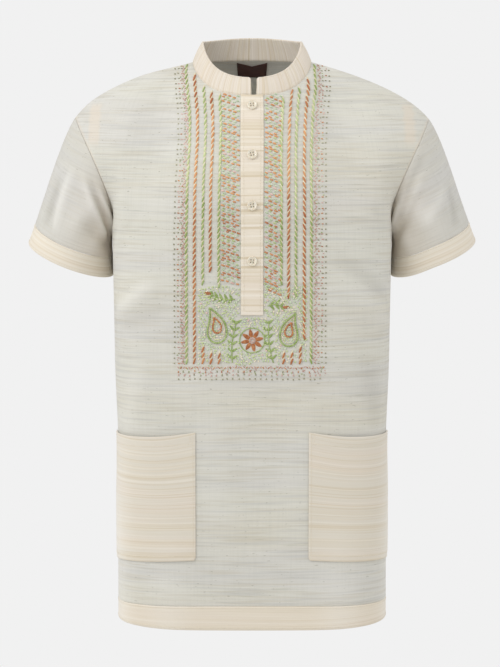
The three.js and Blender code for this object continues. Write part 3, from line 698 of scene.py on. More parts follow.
def shell(name, cloth, thickness, material, around=False, edge=1.0):
    """A thin closed wall under the cloth's outer points, with its edges rounded over."""
    rows, columns = cloth.points.shape[:2]
    away = np.clip(distance_to_edges(cloth.points, around) / edge, 0, 1)
    full = np.maximum(np.sqrt(1 - (1 - away) ** 2), 0.3)[:, :, None] * thickness / 2
    middle = cloth.points - cloth.normals * thickness / 2
    outer, inner = middle + cloth.normals * full, middle - cloth.normals * full
    count = rows * columns
    p = cloth.points
    lean = np.cross(p[0, 1] - p[0, 0], p[1, 0] - p[0, 0]) @ cloth.normals[0, 0]
    faces = grid_faces(rows, columns, around, turned=lean < 0)
    faces += grid_faces(rows, columns, around, first=count, turned=lean > 0)
    foot, head = np.arange(columns), (rows - 1) * columns + np.arange(columns)
    if around:
        loops = [np.append(loop, loop[0]) for loop in (foot, head)]
    else:
        left, right = np.arange(rows) * columns, np.arange(rows) * columns + columns - 1
        loops = [np.concatenate([foot, right[1:], head[::-1][1:], left[::-1][1:]])]
    for which, loop in enumerate(loops):
        outside_first = (which == 0) == (lean > 0)
        for a, b in zip(loop[:-1].tolist(), loop[1:].tolist()):
            quad = (a, a + count, b + count, b)
            faces.append(quad if outside_first else quad[::-1])
    vertices = np.concatenate([outer.reshape(-1, 3), inner.reshape(-1, 3)]) * MM
    flat = np.tile(cloth.flat[:, :, :2].reshape(-1, 2), (2, 1)) * MM
    piece = mesh_piece(name, vertices, faces, material, flat)
    if cloth.flat.shape[2] > 2:
        number_on(piece, "fold", on_both_faces(cloth.flat[:, :, 2]))
    return piece


# ---- Stitches ----

# Each thread's stitches: start, end, normal and radius in millimetres, and a shade from 0 to 1.
THREADS = {name: [] for name in ("orange", "leaf", "pale", "sage", "rose", "olive", "sewing")}
STITCH_SIDES = 5
# Along a stitch: share of its length, then height and thickness as shares of the radius.
STITCH_RINGS = ((0.0, -1.0, 0.5), (0.14, 0.35, 0.95), (0.5, 0.75, 1.08), (0.86, 0.35, 0.95), (1.0, -1.0, 0.5))
UNEVEN_DYE = 0.22  # how far a stitch's shade strays from its thread's


def sew(thread, start, end, normal, radius, shade=0.5):
    THREADS[thread].append((*start, *end, *normal, radius, shade))


def thread_piece(name, thread, material):
    """One piece of all the stitches in a thread. Each dips into the cloth at both ends."""
    table = np.array(THREADS[thread])
    start, end, normal, radius = table[:, :3], table[:, 3:6], table[:, 6:9], table[:, 9:10]
    along = unit(end - start)
    side = unit(np.cross(along, normal))
    up = np.cross(side, along)
    angles = 2 * np.pi * np.arange(STITCH_SIDES) / STITCH_SIDES
    length = np.linalg.norm(end - start, axis=1, keepdims=True)
    vertices, flat = [], []
    for share, height, thick in STITCH_RINGS:
        centre = start + (end - start) * share + up * radius * height
        for angle in angles:
            around = side * math.cos(angle) + up * math.sin(angle)
            vertices.append(centre + around * radius * thick)
            flat.append(np.hstack([length * share, radius * angle]))
    per = len(vertices)
    vertices = np.stack(vertices, axis=1).reshape(-1, 3) * MM
    flat = np.stack(flat, axis=1).reshape(-1, 2) * MM
    tube = [
        (r * STITCH_SIDES + k, r * STITCH_SIDES + (k + 1) % STITCH_SIDES)
        for r in range(len(STITCH_RINGS) - 1)
        for k in range(STITCH_SIDES)
    ]
    one = np.array([(a, b, b + STITCH_SIDES, a + STITCH_SIDES) for a, b in tube])
    faces = (one[None] + per * np.arange(len(table))[:, None, None]).reshape(-1, 4).tolist()
    shade = table[:, 10] + rng.uniform(-UNEVEN_DYE, UNEVEN_DYE, len(table))
    piece = mesh_piece(name, vertices, faces, material, flat)
    number_on(piece, "dye_and_painted_light", np.repeat(np.clip(shade, 0, 1), per))
    return piece


PATH_STEPS = 60  # places along a line of machine stitches where the cloth is felt for


def topstitch(cloth, places, length=2.7, gap=1.0, radius=0.32):
    """A row of machine stitches on a piece, through grid places."""
    places = np.array(places, float)
    steps = np.linspace(0, 1, PATH_STEPS)[:-1, None]
    lines = [lerp(a, b, steps) for a, b in zip(places[:-1], places[1:])]
    spots = [cloth.at(row, column) for row, column in np.concatenate([*lines, places[-1:]])]
    points, normals = np.array([p for p, _ in spots]), np.array([n for _, n in spots])
    run = np.append(0, np.cumsum(np.linalg.norm(np.diff(points, axis=0), axis=1)))
    begin = np.arange(gap, run[-1] - length, length + gap)

    def on_path(values, at):
        return np.stack([np.interp(at, run, values[:, k]) for k in range(3)], axis=1)

    for a, b, n in zip(on_path(points, begin), on_path(points, begin + length), on_path(normals, begin)):
        sew("sewing", a, b, unit(n), radius)


# ---- Looks ----


def colour(code):
    """An sRGB hex colour as Blender's linear values."""
    parts = [int(code[k : k + 2], 16) / 255 for k in (1, 3, 5)]
    return (*[c / 12.92 if c <= 0.04045 else ((c + 0.055) / 1.055) ** 2.4 for c in parts], 1.0)


def add_node(tree, kind, inputs=None, out=0, **settings):
    """Adds a node with its settings, and sets or links its inputs. Gives one of its outputs."""
    made = tree.nodes.new(kind)
    for name, value in settings.items():
        setattr(made, name, value)
    for name, value in (inputs or {}).items():
        if isinstance(value, bpy.types.NodeSocket):
            tree.links.new(value, made.inputs[name])
        else:
            made.inputs[name].default_value = value
    return made.outputs[out] if made.outputs else None


def start_finish(name):
    material = bpy.data.materials.new(name)
    material.use_nodes = True
    material.node_tree.nodes.clear()
    return material, material.node_tree


def flat_place(tree, size, shift=0.0):
    """The place on the flat cloth, counted in marks of a size, in millimetres across and up."""
    inputs = {
        "Vector": add_node(tree, "ShaderNodeUVMap", uv_map="cloth"),
        "Scale": (1 / (size[0] * MM), 1 / (size[1] * MM), 1.0),
        "Location": (shift, shift * 0.7, shift),
    }
    return add_node(tree, "ShaderNodeMapping", inputs)


def patches(tree, size, low, high, shift, detail=2.0):
    """Uneven marks of a size on the cloth, from 0 below low to 1 above high. shift sets them apart
    from other marks."""
    inputs = {"Vector": flat_place(tree, size, shift), "Scale": 1.0, "Detail": detail, "Roughness": 0.55}
    noise = add_node(tree, "ShaderNodeTexNoise", inputs, noise_dimensions="3D")
    ends = {"Value": noise, "From Min": low, "From Max": high}
    return add_node(tree, "ShaderNodeMapRange", ends, interpolation_type="SMOOTHSTEP")


def dyed(tree, base, *dyes):
    """A colour with others laid over it in turn: each one's code, where it lies from 0 to 1, and how
    much of it shows there."""
    for code, where, most in dyes:
        amount = add_node(tree, "ShaderNodeMath", {0: where, 1: most}, operation="MULTIPLY")
        layers = {0: amount, 6: base, 7: colour(code)}
        base = add_node(tree, "ShaderNodeMix", layers, out=2, data_type="RGBA")
    return base


def relief(tree, *parts):
    """How far yarns and marks stand up: each part from 0 to 1, and its share of the height."""
    height = 0.0
    for part, share in parts:
        height = add_node(tree, "ShaderNodeMath", {0: part, 1: share, 2: height}, operation="MULTIPLY_ADD")
    return height


def weave(tree):
    """Plain weave, from 0 to 1, with a thread each way at the weave's pitch."""
    # the wave texture has a thread every 2 pi / 20 of its own length
    size = WEAVE_PITCH * 20 / (2 * math.pi)
    inputs = {"Vector": flat_place(tree, (size, size)), "Scale": 1.0, "Distortion": 0.6, "Detail": 1.0}
    warp, weft = (add_node(tree, "ShaderNodeTexWave", inputs, bands_direction=way) for way in ("X", "Y"))
    return add_node(tree, "ShaderNodeMath", {0: warp, 1: weft}, operation="MULTIPLY")


# Painted light on the folds: a painted highlight on the crests and painted shade in the troughs. Each
# has its colour, how much shows at most, and the heights in millimetres where it starts and where it is full.
FOLD_PAINTED_LIGHT = (("#f8f6f0", 0.5, 0.3, 4.5), ("#9d988c", 0.34, -0.3, -4.0))


def cotton(tree, base, height, show_through):
    """Matt cotton: rough, a faint nap at grazing light, and a little light through the thin cloth.
    Its folds get a painted highlight on the crest and painted shade in the trough."""
    fold = add_node(tree, "ShaderNodeAttribute", out="Fac", attribute_name="fold")
    # painted highlight on fold crests and painted shade in fold troughs
    for code, most, starts, full in FOLD_PAINTED_LIGHT:
        inputs = {"Value": fold, "From Min": starts, "From Max": full}
        base = dyed(tree, base, (code, add_node(tree, "ShaderNodeMapRange", inputs), most))
    bump = add_node(tree, "ShaderNodeBump", {"Height": height, "Strength": 0.45, "Distance": 0.0006})
    matt = {
        "Base Color": base,
        "Roughness": 0.88,
        "IOR": 1.53,
        "Specular IOR Level": 0.25,
        "Sheen Weight": 0.25,
        "Sheen Roughness": 0.45,
        "Normal": bump,
    }
    face = add_node(tree, "ShaderNodeBsdfPrincipled", matt)
    through = add_node(tree, "ShaderNodeBsdfTranslucent", {"Color": base, "Normal": bump})
    return add_node(tree, "ShaderNodeMixShader", {0: show_through, 1: face, 2: through})


# The yarns lie about 0.35 mm apart, too fine to draw at this distance, so the weave is drawn at
# 0.9 mm.
WEAVE_PITCH = 0.9


def slub_handloom(name, ground, strength):
    """Handloom slub cotton, pale grey-green. The weft is spun thick and thin and dyed unevenly, so
    the eye gets level bars of beige and blue-grey, with short lumps and a few dark specks. strength
    says how much the thin bars show."""
    material, tree = start_finish(name)
    thin_pale = patches(tree, (71.43, 2.381), 0.48, 0.72, 9.2, detail=1.0)
    slubs = patches(tree, (45.45, 2.381), 0.62, 0.76, 2.6)
    # the cream that shows through at turnings, and painted light on the sleeves' inner sides
    cream = add_node(tree, "ShaderNodeAttribute", out="Fac", attribute_name="dye_and_painted_light")
    base = dyed(
        tree,
        colour(ground),
        ("#e0dac9", patches(tree, (454.5, 71.43), 0.42, 0.66, 1.3), 0.45),
        ("#dcdad8", patches(tree, (416.7, 55.56), 0.42, 0.68, 4.1), 0.45),
        ("#c9c0aa", patches(tree, (83.33, 3.030), 0.48, 0.7, 7.7, detail=1.0), 0.33 * strength),
        ("#bfbfbd", patches(tree, (100, 3.571), 0.48, 0.72, 14.7, detail=1.0), 0.31 * strength),
        ("#f0eee8", thin_pale, 0.3 * strength),
        ("#b9b7a6", slubs, 0.3),
        ("#c4c3b8", patches(tree, (2, 71.43), 0.4, 0.7, 5.8), 0.1),
        ("#8c8873", patches(tree, (4.545, 1.4286), 0.8, 0.84, 3.4, detail=0.0), 0.4),
        ("#efdfca", cream, 0.4),
    )
    height = relief(tree, (weave(tree), 0.5), (slubs, 0.6), (thin_pale, 0.25))
    cloth = cotton(tree, base, height, show_through=0.16)
    add_node(tree, "ShaderNodeOutputMaterial", {"Surface": cloth})
    return material


def cream_handloom(name, apart, strength, ground="#e6dccb", rib=0.0):
    """Cream handloom cotton with ochre and pale weft bars at uneven distances. apart is how far the
    broad ones lie from each other, in millimetres, and strength how much they show. rib raises them
    a little, as where the cloth is pressed over stiffening."""
    material, tree = start_finish(name)
    wide = patches(tree, (1000, apart), 0.5, 0.66, 3.3, detail=1.0)
    pale = patches(tree, (833.3, apart / 2.2), 0.56, 0.68, 8.9, detail=0.0)
    fine = patches(tree, (142.9, 1.4286), 0.45, 0.7, 1.2)
    base = dyed(
        tree,
        colour(ground),
        ("#e5d7c8", patches(tree, (250, 33.33), 0.45, 0.7, 11.5), 0.4),
        ("#dccfb6", wide, 0.5 * strength),
        ("#c8b48e", patches(tree, (833.3, apart / 2.6), 0.6, 0.68, 6.4, detail=0.0), 0.42 * strength),
        ("#f3ece0", pale, 0.45 * strength),
        ("#d3c7b0", fine, 0.22),
    )
    height = relief(tree, (weave(tree), 0.5), (fine, 0.3), (wide, rib), (pale, rib))
    cloth = cotton(tree, base, height, show_through=0.04)
    add_node(tree, "ShaderNodeOutputMaterial", {"Surface": cloth})
    return material


def stranded_thread(name, light, dark, rough=0.62):
    """Six-strand embroidery cotton, mercerised, so that it has a soft gloss along the twist."""
    material, tree = start_finish(name)
    # the strands turn round the thread once in about 2 mm
    inputs = {"Vector": flat_place(tree, (6.25, 2.381)), "Scale": 1.0, "Distortion": 0.3}
    twist = add_node(tree, "ShaderNodeTexWave", inputs, bands_direction="DIAGONAL")
    shade = add_node(tree, "ShaderNodeAttribute", out="Fac", attribute_name="dye_and_painted_light")
    base = dyed(tree, colour(light), (dark, shade, 1.0), (dark, twist, 0.35))
    bump = add_node(tree, "ShaderNodeBump", {"Height": twist, "Strength": 0.5, "Distance": 0.0002})
    inputs = {
        "Base Color": base,
        "Roughness": rough,
        "IOR": 1.53,
        "Sheen Weight": 0.2,
        "Anisotropic": 0.4,
        "Normal": bump,
    }
    face = add_node(tree, "ShaderNodeBsdfPrincipled", inputs)
    add_node(tree, "ShaderNodeOutputMaterial", {"Surface": face})
    return material


def shell_button():
    """A button turned from polished river shell: cloudy cream layers under a clear gloss."""
    material, tree = start_finish("polished shell button")
    clouds = patches(tree, (3.846, 1.923), 0.35, 0.68, 2.2, detail=4.0)
    layers = patches(tree, (16.67, 0.6667), 0.4, 0.7, 5.2)
    base = dyed(tree, colour("#d8ccb5"), ("#efe9da", clouds, 1.0), ("#c9bda2", layers, 0.35))
    inputs = {
        "Base Color": base,
        "Roughness": 0.3,
        "IOR": 1.53,
        "Subsurface Weight": 0.15,
        "Subsurface Radius": (0.002, 0.0015, 0.001),
        "Coat Weight": 0.6,
        "Coat Roughness": 0.1,
    }
    face = add_node(tree, "ShaderNodeBsdfPrincipled", inputs)
    add_node(tree, "ShaderNodeOutputMaterial", {"Surface": face})
    return material


def label_satin():
    """Woven satin tape, dark red-brown. Its long floats give a low sheen across the width."""
    material, tree = start_finish("bare woven label")
    floats = patches(tree, (16.67, 0.5556), 0.35, 0.7, 1.1)
    slack = patches(tree, (11.11, 11.11), 0.3, 0.7, 6.1)
    base = dyed(tree, colour("#3f1a10"), ("#54281a", floats, 0.7), ("#1e0f0c", slack, 0.4))
    bump = add_node(tree, "ShaderNodeBump", {"Height": floats, "Strength": 0.4, "Distance": 0.0003})
    inputs = {"Base Color": base, "Roughness": 0.5, "IOR": 1.5, "Sheen Weight": 0.15, "Normal": bump}
    face = add_node(tree, "ShaderNodeBsdfPrincipled", inputs)
    add_node(tree, "ShaderNodeOutputMaterial", {"Surface": face})
    return material


BODY_SLUB = slub_handloom("slub handloom, body", "#e3e1d6", 1.0)
SLEEVE_SLUB = slub_handloom("slub handloom, sleeves", "#dad8d0", 0.55)
BAND_STRIPES = cream_handloom("cream handloom, hem bands", 5.263, 0.5)
# The cuffs are the hem bands' cream cloth; their ground is painted a little paler for the light that falls on
# them.
CUFF_STRIPES_PAINTED_PALER = cream_handloom("cream handloom, cuffs", 4.545, 0.5, "#e8e0d1")
POCKET_STRIPES = cream_handloom("cream handloom, pockets", 5.882, 0.62, "#dfd8ca")
PLACKET_STRIPES = cream_handloom("cream handloom, placket", 10, 1.1, "#ebe1d0")
COLLAR_STRIPES = cream_handloom("cream handloom, collar", 4.348, 1.0, "#e2d8ca", rib=1.0)
SHELL_BUTTON = shell_button()
LABEL_SATIN = label_satin()
THREAD_FINISHES = {
    "orange": stranded_thread("rust orange thread", "#eaae74", "#a9602f"),
    "leaf": stranded_thread("leaf green thread", "#d6e1a8", "#8ba153"),
    "pale": stranded_thread("pale cream thread", "#efe6cf", "#dcd0b0"),
    "sage": stranded_thread("grey-green thread", "#d2dec0", "#abc098"),
    "rose": stranded_thread("rose brown thread", "#eccfc4", "#bb8f82"),
    "olive": stranded_thread("olive thread", "#c6c3a6", "#85815f"),
    "sewing": stranded_thread("cream sewing cotton", "#ebe3d2", "#d8ccb4", 0.7),
}

# ---- Pieces ----


def row_of(z):
    return (z - HEM_Z) / (UNDERARM_Z - HEM_Z) * UNDERARM_ROW


def column_of(column):
    return (column + END_COLUMN) * COLUMN_STEPS


def give(piece, slot, *nodes):
    """A finished piece rides on the garment and stands for its solids. Its slot is not used."""
    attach(piece, "root")
    if nodes:
        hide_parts(*nodes)
    return piece


def sheet(piece, cloth, held, rests_on=(), with_pieces=(), widest=slice(None)):
    width, length, area = cloth.cut(widest)


BAND_TOP_ROW = row_of(BAND_SEAM_Z - SEAM_GAP / 2)
PANEL_FOOT_ROW = row_of(BAND_SEAM_Z + SEAM_GAP / 2)
NEAR = 0.25  # rows or columns from an edge to where its rounding ends
ALL_COLUMNS = spread(0, len(COLUMNS) - 1, NEAR)
# Where the cream turnings of the armhole show through: a strip by its places across and heights,
# with soft ends, and a line by its distance from the seam and its rise from the underarm.
TURNING = {"across": (202, 205, 217, 220), "heights": (-122, -108, -66, -58), "line": (0.6, 2.2), "rise": 20}


def panel(side, grid):
    cloth = grid.patch(spread(PANEL_FOOT_ROW, TOP_ROW, NEAR), ALL_COLUMNS)
    piece = shell(f"{side}_panel", cloth, CLOTH, BODY_SLUB)
    # the cream turnings of the armhole seam show faintly through the pale cloth
    across = np.abs(cloth.flat[:, :, 0])
    from_edge = across.max(axis=1, keepdims=True) - across
    x, z = np.abs(cloth.points[:, :, 0]), cloth.points[:, :, 2]
    strip = between(x, *TURNING["across"]) * between(z, *TURNING["heights"])
    risen = smoothstep(z, UNDERARM_Z, UNDERARM_Z + TURNING["rise"])
    line = (1 - smoothstep(from_edge, *TURNING["line"])) * risen
    number_on(piece, "dye_and_painted_light", on_both_faces(np.maximum(strip, line)))
    give(piece, "slub_cotton", side)
    return piece, cloth


BAND_EDGE = {"foot": 0.8, "head": 0.5}  # rows from a band's edges to its stitches


def hem_band(side, grid):
    cloth = grid.patch(spread(0, BAND_TOP_ROW, NEAR), ALL_COLUMNS)
    piece = shell(f"{side}_hem_band", cloth, BAND_CLOTH, BAND_STRIPES, edge=1.2)
    give(piece, "cream_cotton", f"hem_band_{side}")
    for row in (BAND_EDGE["foot"], BAND_TOP_ROW - BAND_EDGE["head"]):
        topstitch(grid, [(row, column) for column in np.linspace(1, len(COLUMNS) - 2, PATH_STEPS)])
    return piece, cloth


front_piece, front_cloth = panel("front", front)
back_piece, back_cloth = panel("back", back)
front_band, front_band_cloth = hem_band("front", front)
back_band, back_band_cloth = hem_band("back", back)
sheet(front_band, front_band_cloth, "hung", "front_panel")
sheet(back_band, back_band_cloth, "hung", "back_panel")


CUFF_ROWS = np.concatenate([[0, 0.07, 0.25], np.arange(1, CUFF_STEPS), [5.75, 5.93, CUFF_STEPS]])
CUFF_EDGE = {"foot": 0.7, "head": 0.4, "steps": 50}  # rows from a cuff's edges to its stitches
# A sleeve's two pieces: name, node, rows, thickness, finish and slot.
SLEEVE_PARTS = (
    ("sleeve", "sleeve", spread(0, SLEEVE_STEPS, NEAR), CLOTH, SLEEVE_SLUB, "slub_cotton"),
    ("cuff_binding", "cuff_band", CUFF_ROWS + SLEEVE_STEPS + 1, BAND_CLOTH, CUFF_STRIPES_PAINTED_PALER, "cream_cotton"),
)
INNER_PAINTED_LIGHT = 1.5  # how much painted warm light lifts the shade on a sleeve's inner side, towards the underarm


def sleeve_pieces(hand):
    whole = sleeve(hand)
    if hand == "right":
        whole = whole.mirrored()
    whole.points = hung(whole.points)
    # painted warm light on the sleeve's side that faces the body, strongest under the arm
    beige = INNER_PAINTED_LIGHT * inner_side(2 * np.pi * np.arange(RING) / RING)
    made, cuts = [], []
    for name, node, rows, thickness, finish, slot in SLEEVE_PARTS:
        cloth = whole.patch(rows, np.arange(RING, dtype=float))
        piece = shell(f"{hand}_{name}", cloth, thickness, finish, around=True, edge=1.2)
        number_on(piece, "dye_and_painted_light", on_both_faces(np.broadcast_to(beige, cloth.points.shape[:2])))
        made.append(give(piece, slot, f"{node}_{hand}"))
        cuts.append(Cloth(np.concatenate([cloth.points, cloth.points[:, :1]], axis=1), None, None))
    last = len(whole.points) - 1
    for row in (last - CUFF_EDGE["foot"], SLEEVE_STEPS + 1 + CUFF_EDGE["head"]):
        topstitch(whole, [(row, column) for column in np.linspace(0, RING - 1, CUFF_EDGE["steps"])])
    sheet(made[0], cuts[0], "hung", ("front_panel", "back_panel"))
    sheet(made[1], cuts[1], "hung", made[0])


sleeve_pieces("left")
sleeve_pieces("right")

collar_cloth = collar_band()
collar = shell("collar_band", collar_cloth, COLLAR_CLOTH, COLLAR_STRIPES, edge=1.3)
give(collar, "cream_cotton", "collar")
sheet(collar, collar_cloth, "hung", ("front_panel", "back_panel"))
collar_end = collar_cloth.points.shape[1] - 1
COLLAR_STITCH = {"length": 2.4, "gap": 0.9, "radius": 0.26}
for row, from_end in ((collar_cloth.points.shape[0] - 4, 5), (2.2, 3)):
    columns = np.linspace(from_end, collar_end - from_end, PATH_STEPS)
    topstitch(collar_cloth, [(row, column) for column in columns], **COLLAR_STITCH)

# ---- Placket and pockets ----

placket_columns = spread(column_of(-PLACKET_COLUMN), column_of(PLACKET_COLUMN), 0.35)
placket_rows = spread(row_of(PLACKET_FOOT_Z), TOP_ROW, NEAR)
placket_cloth = front.patch(placket_rows, placket_columns).lifted(OVER_PANEL)
placket = shell("placket_strip", placket_cloth, PATCH_CLOTH, PLACKET_STRIPES)
give(placket, "cream_cotton", "placket")
sheet(placket, placket_cloth, "laid", "front_panel")
near_column, foot_row, last_row = 3.3, 3, placket_cloth.points.shape[0] - 4
far_column = placket_cloth.points.shape[1] - 1 - near_column
foot_line = [(foot_row, near_column), (foot_row, far_column)]
topstitch(placket_cloth, [(last_row, near_column), *foot_line, (last_row, far_column)])

POCKET = {"outer_corner": 9.0, "inner_corner": 4.5, "turned_hem": 15.5, "tack": 8.5}
FINE_COLUMN = 4.3  # millimetres between a pocket's fine columns
POCKET_EDGE = {"columns": 3.2, "rows": 3.4}  # how far in from its edges a pocket is sewn down
SAG_OF_WEFT = {"by": 1.6, "heights": (20, 170)}  # the pattern was cut level, and sags with the mouth


def pocket(hand):
    """A patch whose mouth sags and stands off a little, with its foot's corners rounded."""
    way = 1 if hand == "left" else -1
    inner, outer = column_of(way * POCKET_COLUMN), column_of(way * POCKET_END)
    rows = spread(row_of(POCKET_FOOT_Z), row_of(POCKET_MOUTH_Z), NEAR)
    mm_up = (rows - rows[0]) * (UNDERARM_Z - HEM_Z) / UNDERARM_ROW
    share = np.sort(np.concatenate([np.linspace(0, 1, 42), [0.002, 0.008, 0.992, 0.998]]))
    width = abs(outer - inner)

    def inset(corner):
        low = np.maximum(corner - mm_up, 0)
        return (corner - np.sqrt(np.maximum(corner**2 - low**2, 0))) / FINE_COLUMN / width

    from_inner, to_outer = inset(POCKET["inner_corner"]), 1 - inset(POCKET["outer_corner"])
    placed = from_inner[:, None] + (to_outer - from_inner)[:, None] * share
    columns = inner + (outer - inner) * placed
    open_by = (mm_up / mm_up[-1])[:, None] ** 4 * np.sin(np.pi * share)
    lowered = POCKET_SAG * open_by + POCKET_DROP * share
    cloth = front.patch(rows[:, None] - lowered / ROW_STEP, columns)
    sag = SAG_OF_WEFT["by"] * POCKET_SAG * np.sin(np.pi * share)
    cloth.flat[:, :, 1] += sag * smoothstep(mm_up, *SAG_OF_WEFT["heights"])[:, None] + POCKET_DROP * share
    cloth = cloth.lifted(OVER_PANEL + POCKET_GAPE * open_by)
    piece = shell(f"{hand}_pocket", cloth, PATCH_CLOTH, POCKET_STRIPES)
    give(piece, "cream_cotton", f"pocket_{hand}")
    sheet(piece, cloth, "laid", "front_panel")
    last, end = cloth.points.shape[0] - 1, cloth.points.shape[1] - 1
    near, far, foot = POCKET_EDGE["columns"], end - POCKET_EDGE["columns"], POCKET_EDGE["rows"]
    hem_row = last - 2 - POCKET["turned_hem"] / ROW_STEP
    tack = 2.5 + POCKET["tack"] / FINE_COLUMN
    topstitch(cloth, [(last, near), (foot, near), (foot, far), (last, far)])
    topstitch(cloth, [(hem_row, near), (hem_row, far)])
    topstitch(cloth, [(last - 1, tack), (hem_row, tack)])


pocket("left")
pocket("right")

# ---- Label and buttons ----

LABEL = {"half_columns": 1.25, "top_row": 0.1, "rows_down": 1.3, "thickness": 1.0, "dip": 0.38, "flare": 0.1}


def neck_label():
    fine = RISE_ROWS / PART_RISE_ROWS
    high = TOP_ROW - LABEL["top_row"] * fine
    foot = high - LABEL["rows_down"] * fine
    reach = LABEL["half_columns"] * COLUMN_STEPS
    share = np.linspace(-1, 1, 22)
    top = high - LABEL["dip"] * fine * (1 - np.abs(share)) ** 0.8
    up = np.linspace(0, 1, 12)[:, None]
    rows = foot + (top - foot) * up
    columns = len(COLUMNS) // 2 + reach * share * (1 + LABEL["flare"] * up)
    cloth = back.patch(rows, columns).lifted(-CLOTH - SEAM_GAP)
    piece = shell("bare_neck_label", cloth, LABEL["thickness"], LABEL_SATIN, edge=0.5)
    give(piece, "label_satin", "neck_label")
    sheet(piece, cloth, "hung", "back_panel")


neck_label()

BUTTON = {"hole": 0.95, "hole_out": 1.6, "turns": 56, "thread": 0.17, "thread_apart": 0.25, "thread_up": 1.9}
# The button as it is turned, from the middle of its back round the rim to the well.
BUTTON_PROFILE = {
    "radius": (0.0, 5.0, 5.9, 6.45, 6.6, 6.4, 5.95, 5.55, 5.15, 4.85, 4.6, 4.1, 3.0, 0.0),
    "height": (0.0, 0.0, 0.35, 0.95, 1.45, 2.1, 2.5, 2.6, 2.5, 2.2, 1.95, 1.86, 1.85, 1.85),
}


def button_mesh():
    """A turned button with a rounded rim and a shallow well, drilled with four holes."""
    turns, out = BUTTON["turns"], BUTTON["hole_out"]
    profile = list(zip(BUTTON_PROFILE["radius"], BUTTON_PROFILE["height"]))
    vertices = [(0, 0, 0)]
    for radius, height in profile[1:-1]:
        for k in range(turns):
            a = 2 * math.pi * k / turns
            vertices.append((radius * math.cos(a), radius * math.sin(a), height))
    vertices.append((0, 0, profile[-1][1]))
    faces = [(0, 1 + (k + 1) % turns, 1 + k) for k in range(turns)]
    for ring in range(len(profile) - 3):
        for k in range(turns):
            a, c = 1 + ring * turns + k, 1 + ring * turns + (k + 1) % turns
            faces.append((a, c, c + turns, a + turns))
    top = len(vertices) - 1
    faces += [(top, top - turns + k, top - turns + (k + 1) % turns) for k in range(turns)]
    vertices = np.array(vertices, float)
    blank = mesh_piece("button_blank", vertices, faces, SHELL_BUTTON, vertices[:, :2] * MM)
    drills = []
    for place in ((out, out, 1), (out, -out, 1), (-out, -out, 1), (-out, out, 1)):
        bpy.ops.mesh.primitive_cylinder_add(vertices=20, radius=BUTTON["hole"], depth=8, location=place)
        drill = bpy.context.object
        cutter = blank.modifiers.new("drill", "BOOLEAN")
        cutter.operation, cutter.solver, cutter.object = "DIFFERENCE", "EXACT", drill
        drills.append(drill)
    drilled = blank.evaluated_get(bpy.context.evaluated_depsgraph_get())
    mesh = bpy.data.meshes.new_from_object(drilled)
    for tool in (*drills, blank):
        bpy.data.objects.remove(tool)
    return mesh


def buttons():
    mesh = button_mesh()
    centre_column = placket_cloth.points.shape[1] // 2
    line, normals = placket_cloth.points[:, centre_column], placket_cloth.normals[:, centre_column]
    out = BUTTON["hole_out"]
    for number in range(1, 5):
        low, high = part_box(f"button_{number}")
        z = (low[2] + high[2]) / 2 / MM
        at = np.array([np.interp(z, line[:, 2], line[:, k]) for k in range(3)])
        normal = np.array([np.interp(z, line[:, 2], normals[:, k]) for k in range(3)])
        # each sits on the middle line and faces straight out
        at[0] = normal[0] = 0
        normal = unit(normal)
        up = np.cross(normal, (1.0, 0, 0))
        turn = rng.uniform(-0.25, 0.25)
        x_axis = np.array([1.0, 0, 0]) * math.cos(turn) + up * math.sin(turn)
        y_axis = np.cross(normal, x_axis)
        copy = mesh.copy()
        base = at + normal * SEAM_GAP
        for vertex in copy.vertices:
            x, y, h = vertex.co
            vertex.co = Vector((base + x_axis * x + y_axis * y + normal * h) * MM)
        piece = bpy.data.objects.new(f"shell_button_{number}", copy)
        bpy.context.scene.collection.objects.link(piece)
        give(piece, "pearl_button", f"button_{number}")
        for x in (-out, out):
            for beside in (-BUTTON["thread_apart"], BUTTON["thread_apart"]):
                middle = base + normal * BUTTON["thread_up"] + x_axis * (x + beside)
                sew("sewing", middle - y_axis * out, middle + y_axis * out, normal, BUTTON["thread"])


buttons()

# ---- Running stitch on the chest ----

# How far the rows of stitches drift across towards the neck: heights and millimetres, by hand.
DRIFT = {
    "right": ((-240, 0), (-170, 1.2), (-110, 4.4), (-80, 4.2), (-55, 1.6), (-20, -2.5)),
    "left": ((-130, 0), (-84, 2.2), (-60, 5.2), (-42, 8.2), (-18, 7.4)),
}
DRIFT_INNER, DRIFT_OUTER = 40.0, 85.0

# Ropes of slanted stitches: place across, thread, lowest height and lean of a stitch.
ROPES = (
    (-86.1, "leaf", -404, 1),
    (-75.7, "orange", -404, 1),
    (-64.6, "leaf", -300, 1),
    (-54.8, "orange", -284, 1),
    (-43.7, "leaf", -304, 1),
    (38.0, "leaf", -300, -1),
    (47.7, "orange", -318, 1),
    (57.2, "leaf", -316, -1),
    (68.1, "orange", -372, -1),
    (77.3, "leaf", -404, -1),
)
ROPE_STITCH = {
    "orange": {"pitch": 7.6, "long": 8.8, "slant": 3.2, "radius": 1.3},
    "leaf": {"pitch": 7.2, "long": 8.4, "slant": 3.0, "radius": 1.1},
}
# The skeins are space-dyed: heights up the chest, and how dark the threads are there.
SHADES = {
    "heights": (-404, -300, -215, -185, -160, -85, -55, -20),
    "dark": (0.72, 0.8, 0.92, 0.55, 0.22, 0.15, 0.7, 0.9),
}
DASH_BLOCKS = (
    {"from_x": -38.5, "to_x": -16.5, "slope": -0.32, "foot": -296},
    {"from_x": 16.8, "to_x": 36.4, "slope": -0.4, "foot": -308},
)
DASH_ROWS = {"pitch": 9.7, "dash": 5.2, "step": 6.4, "darker": -0.3}
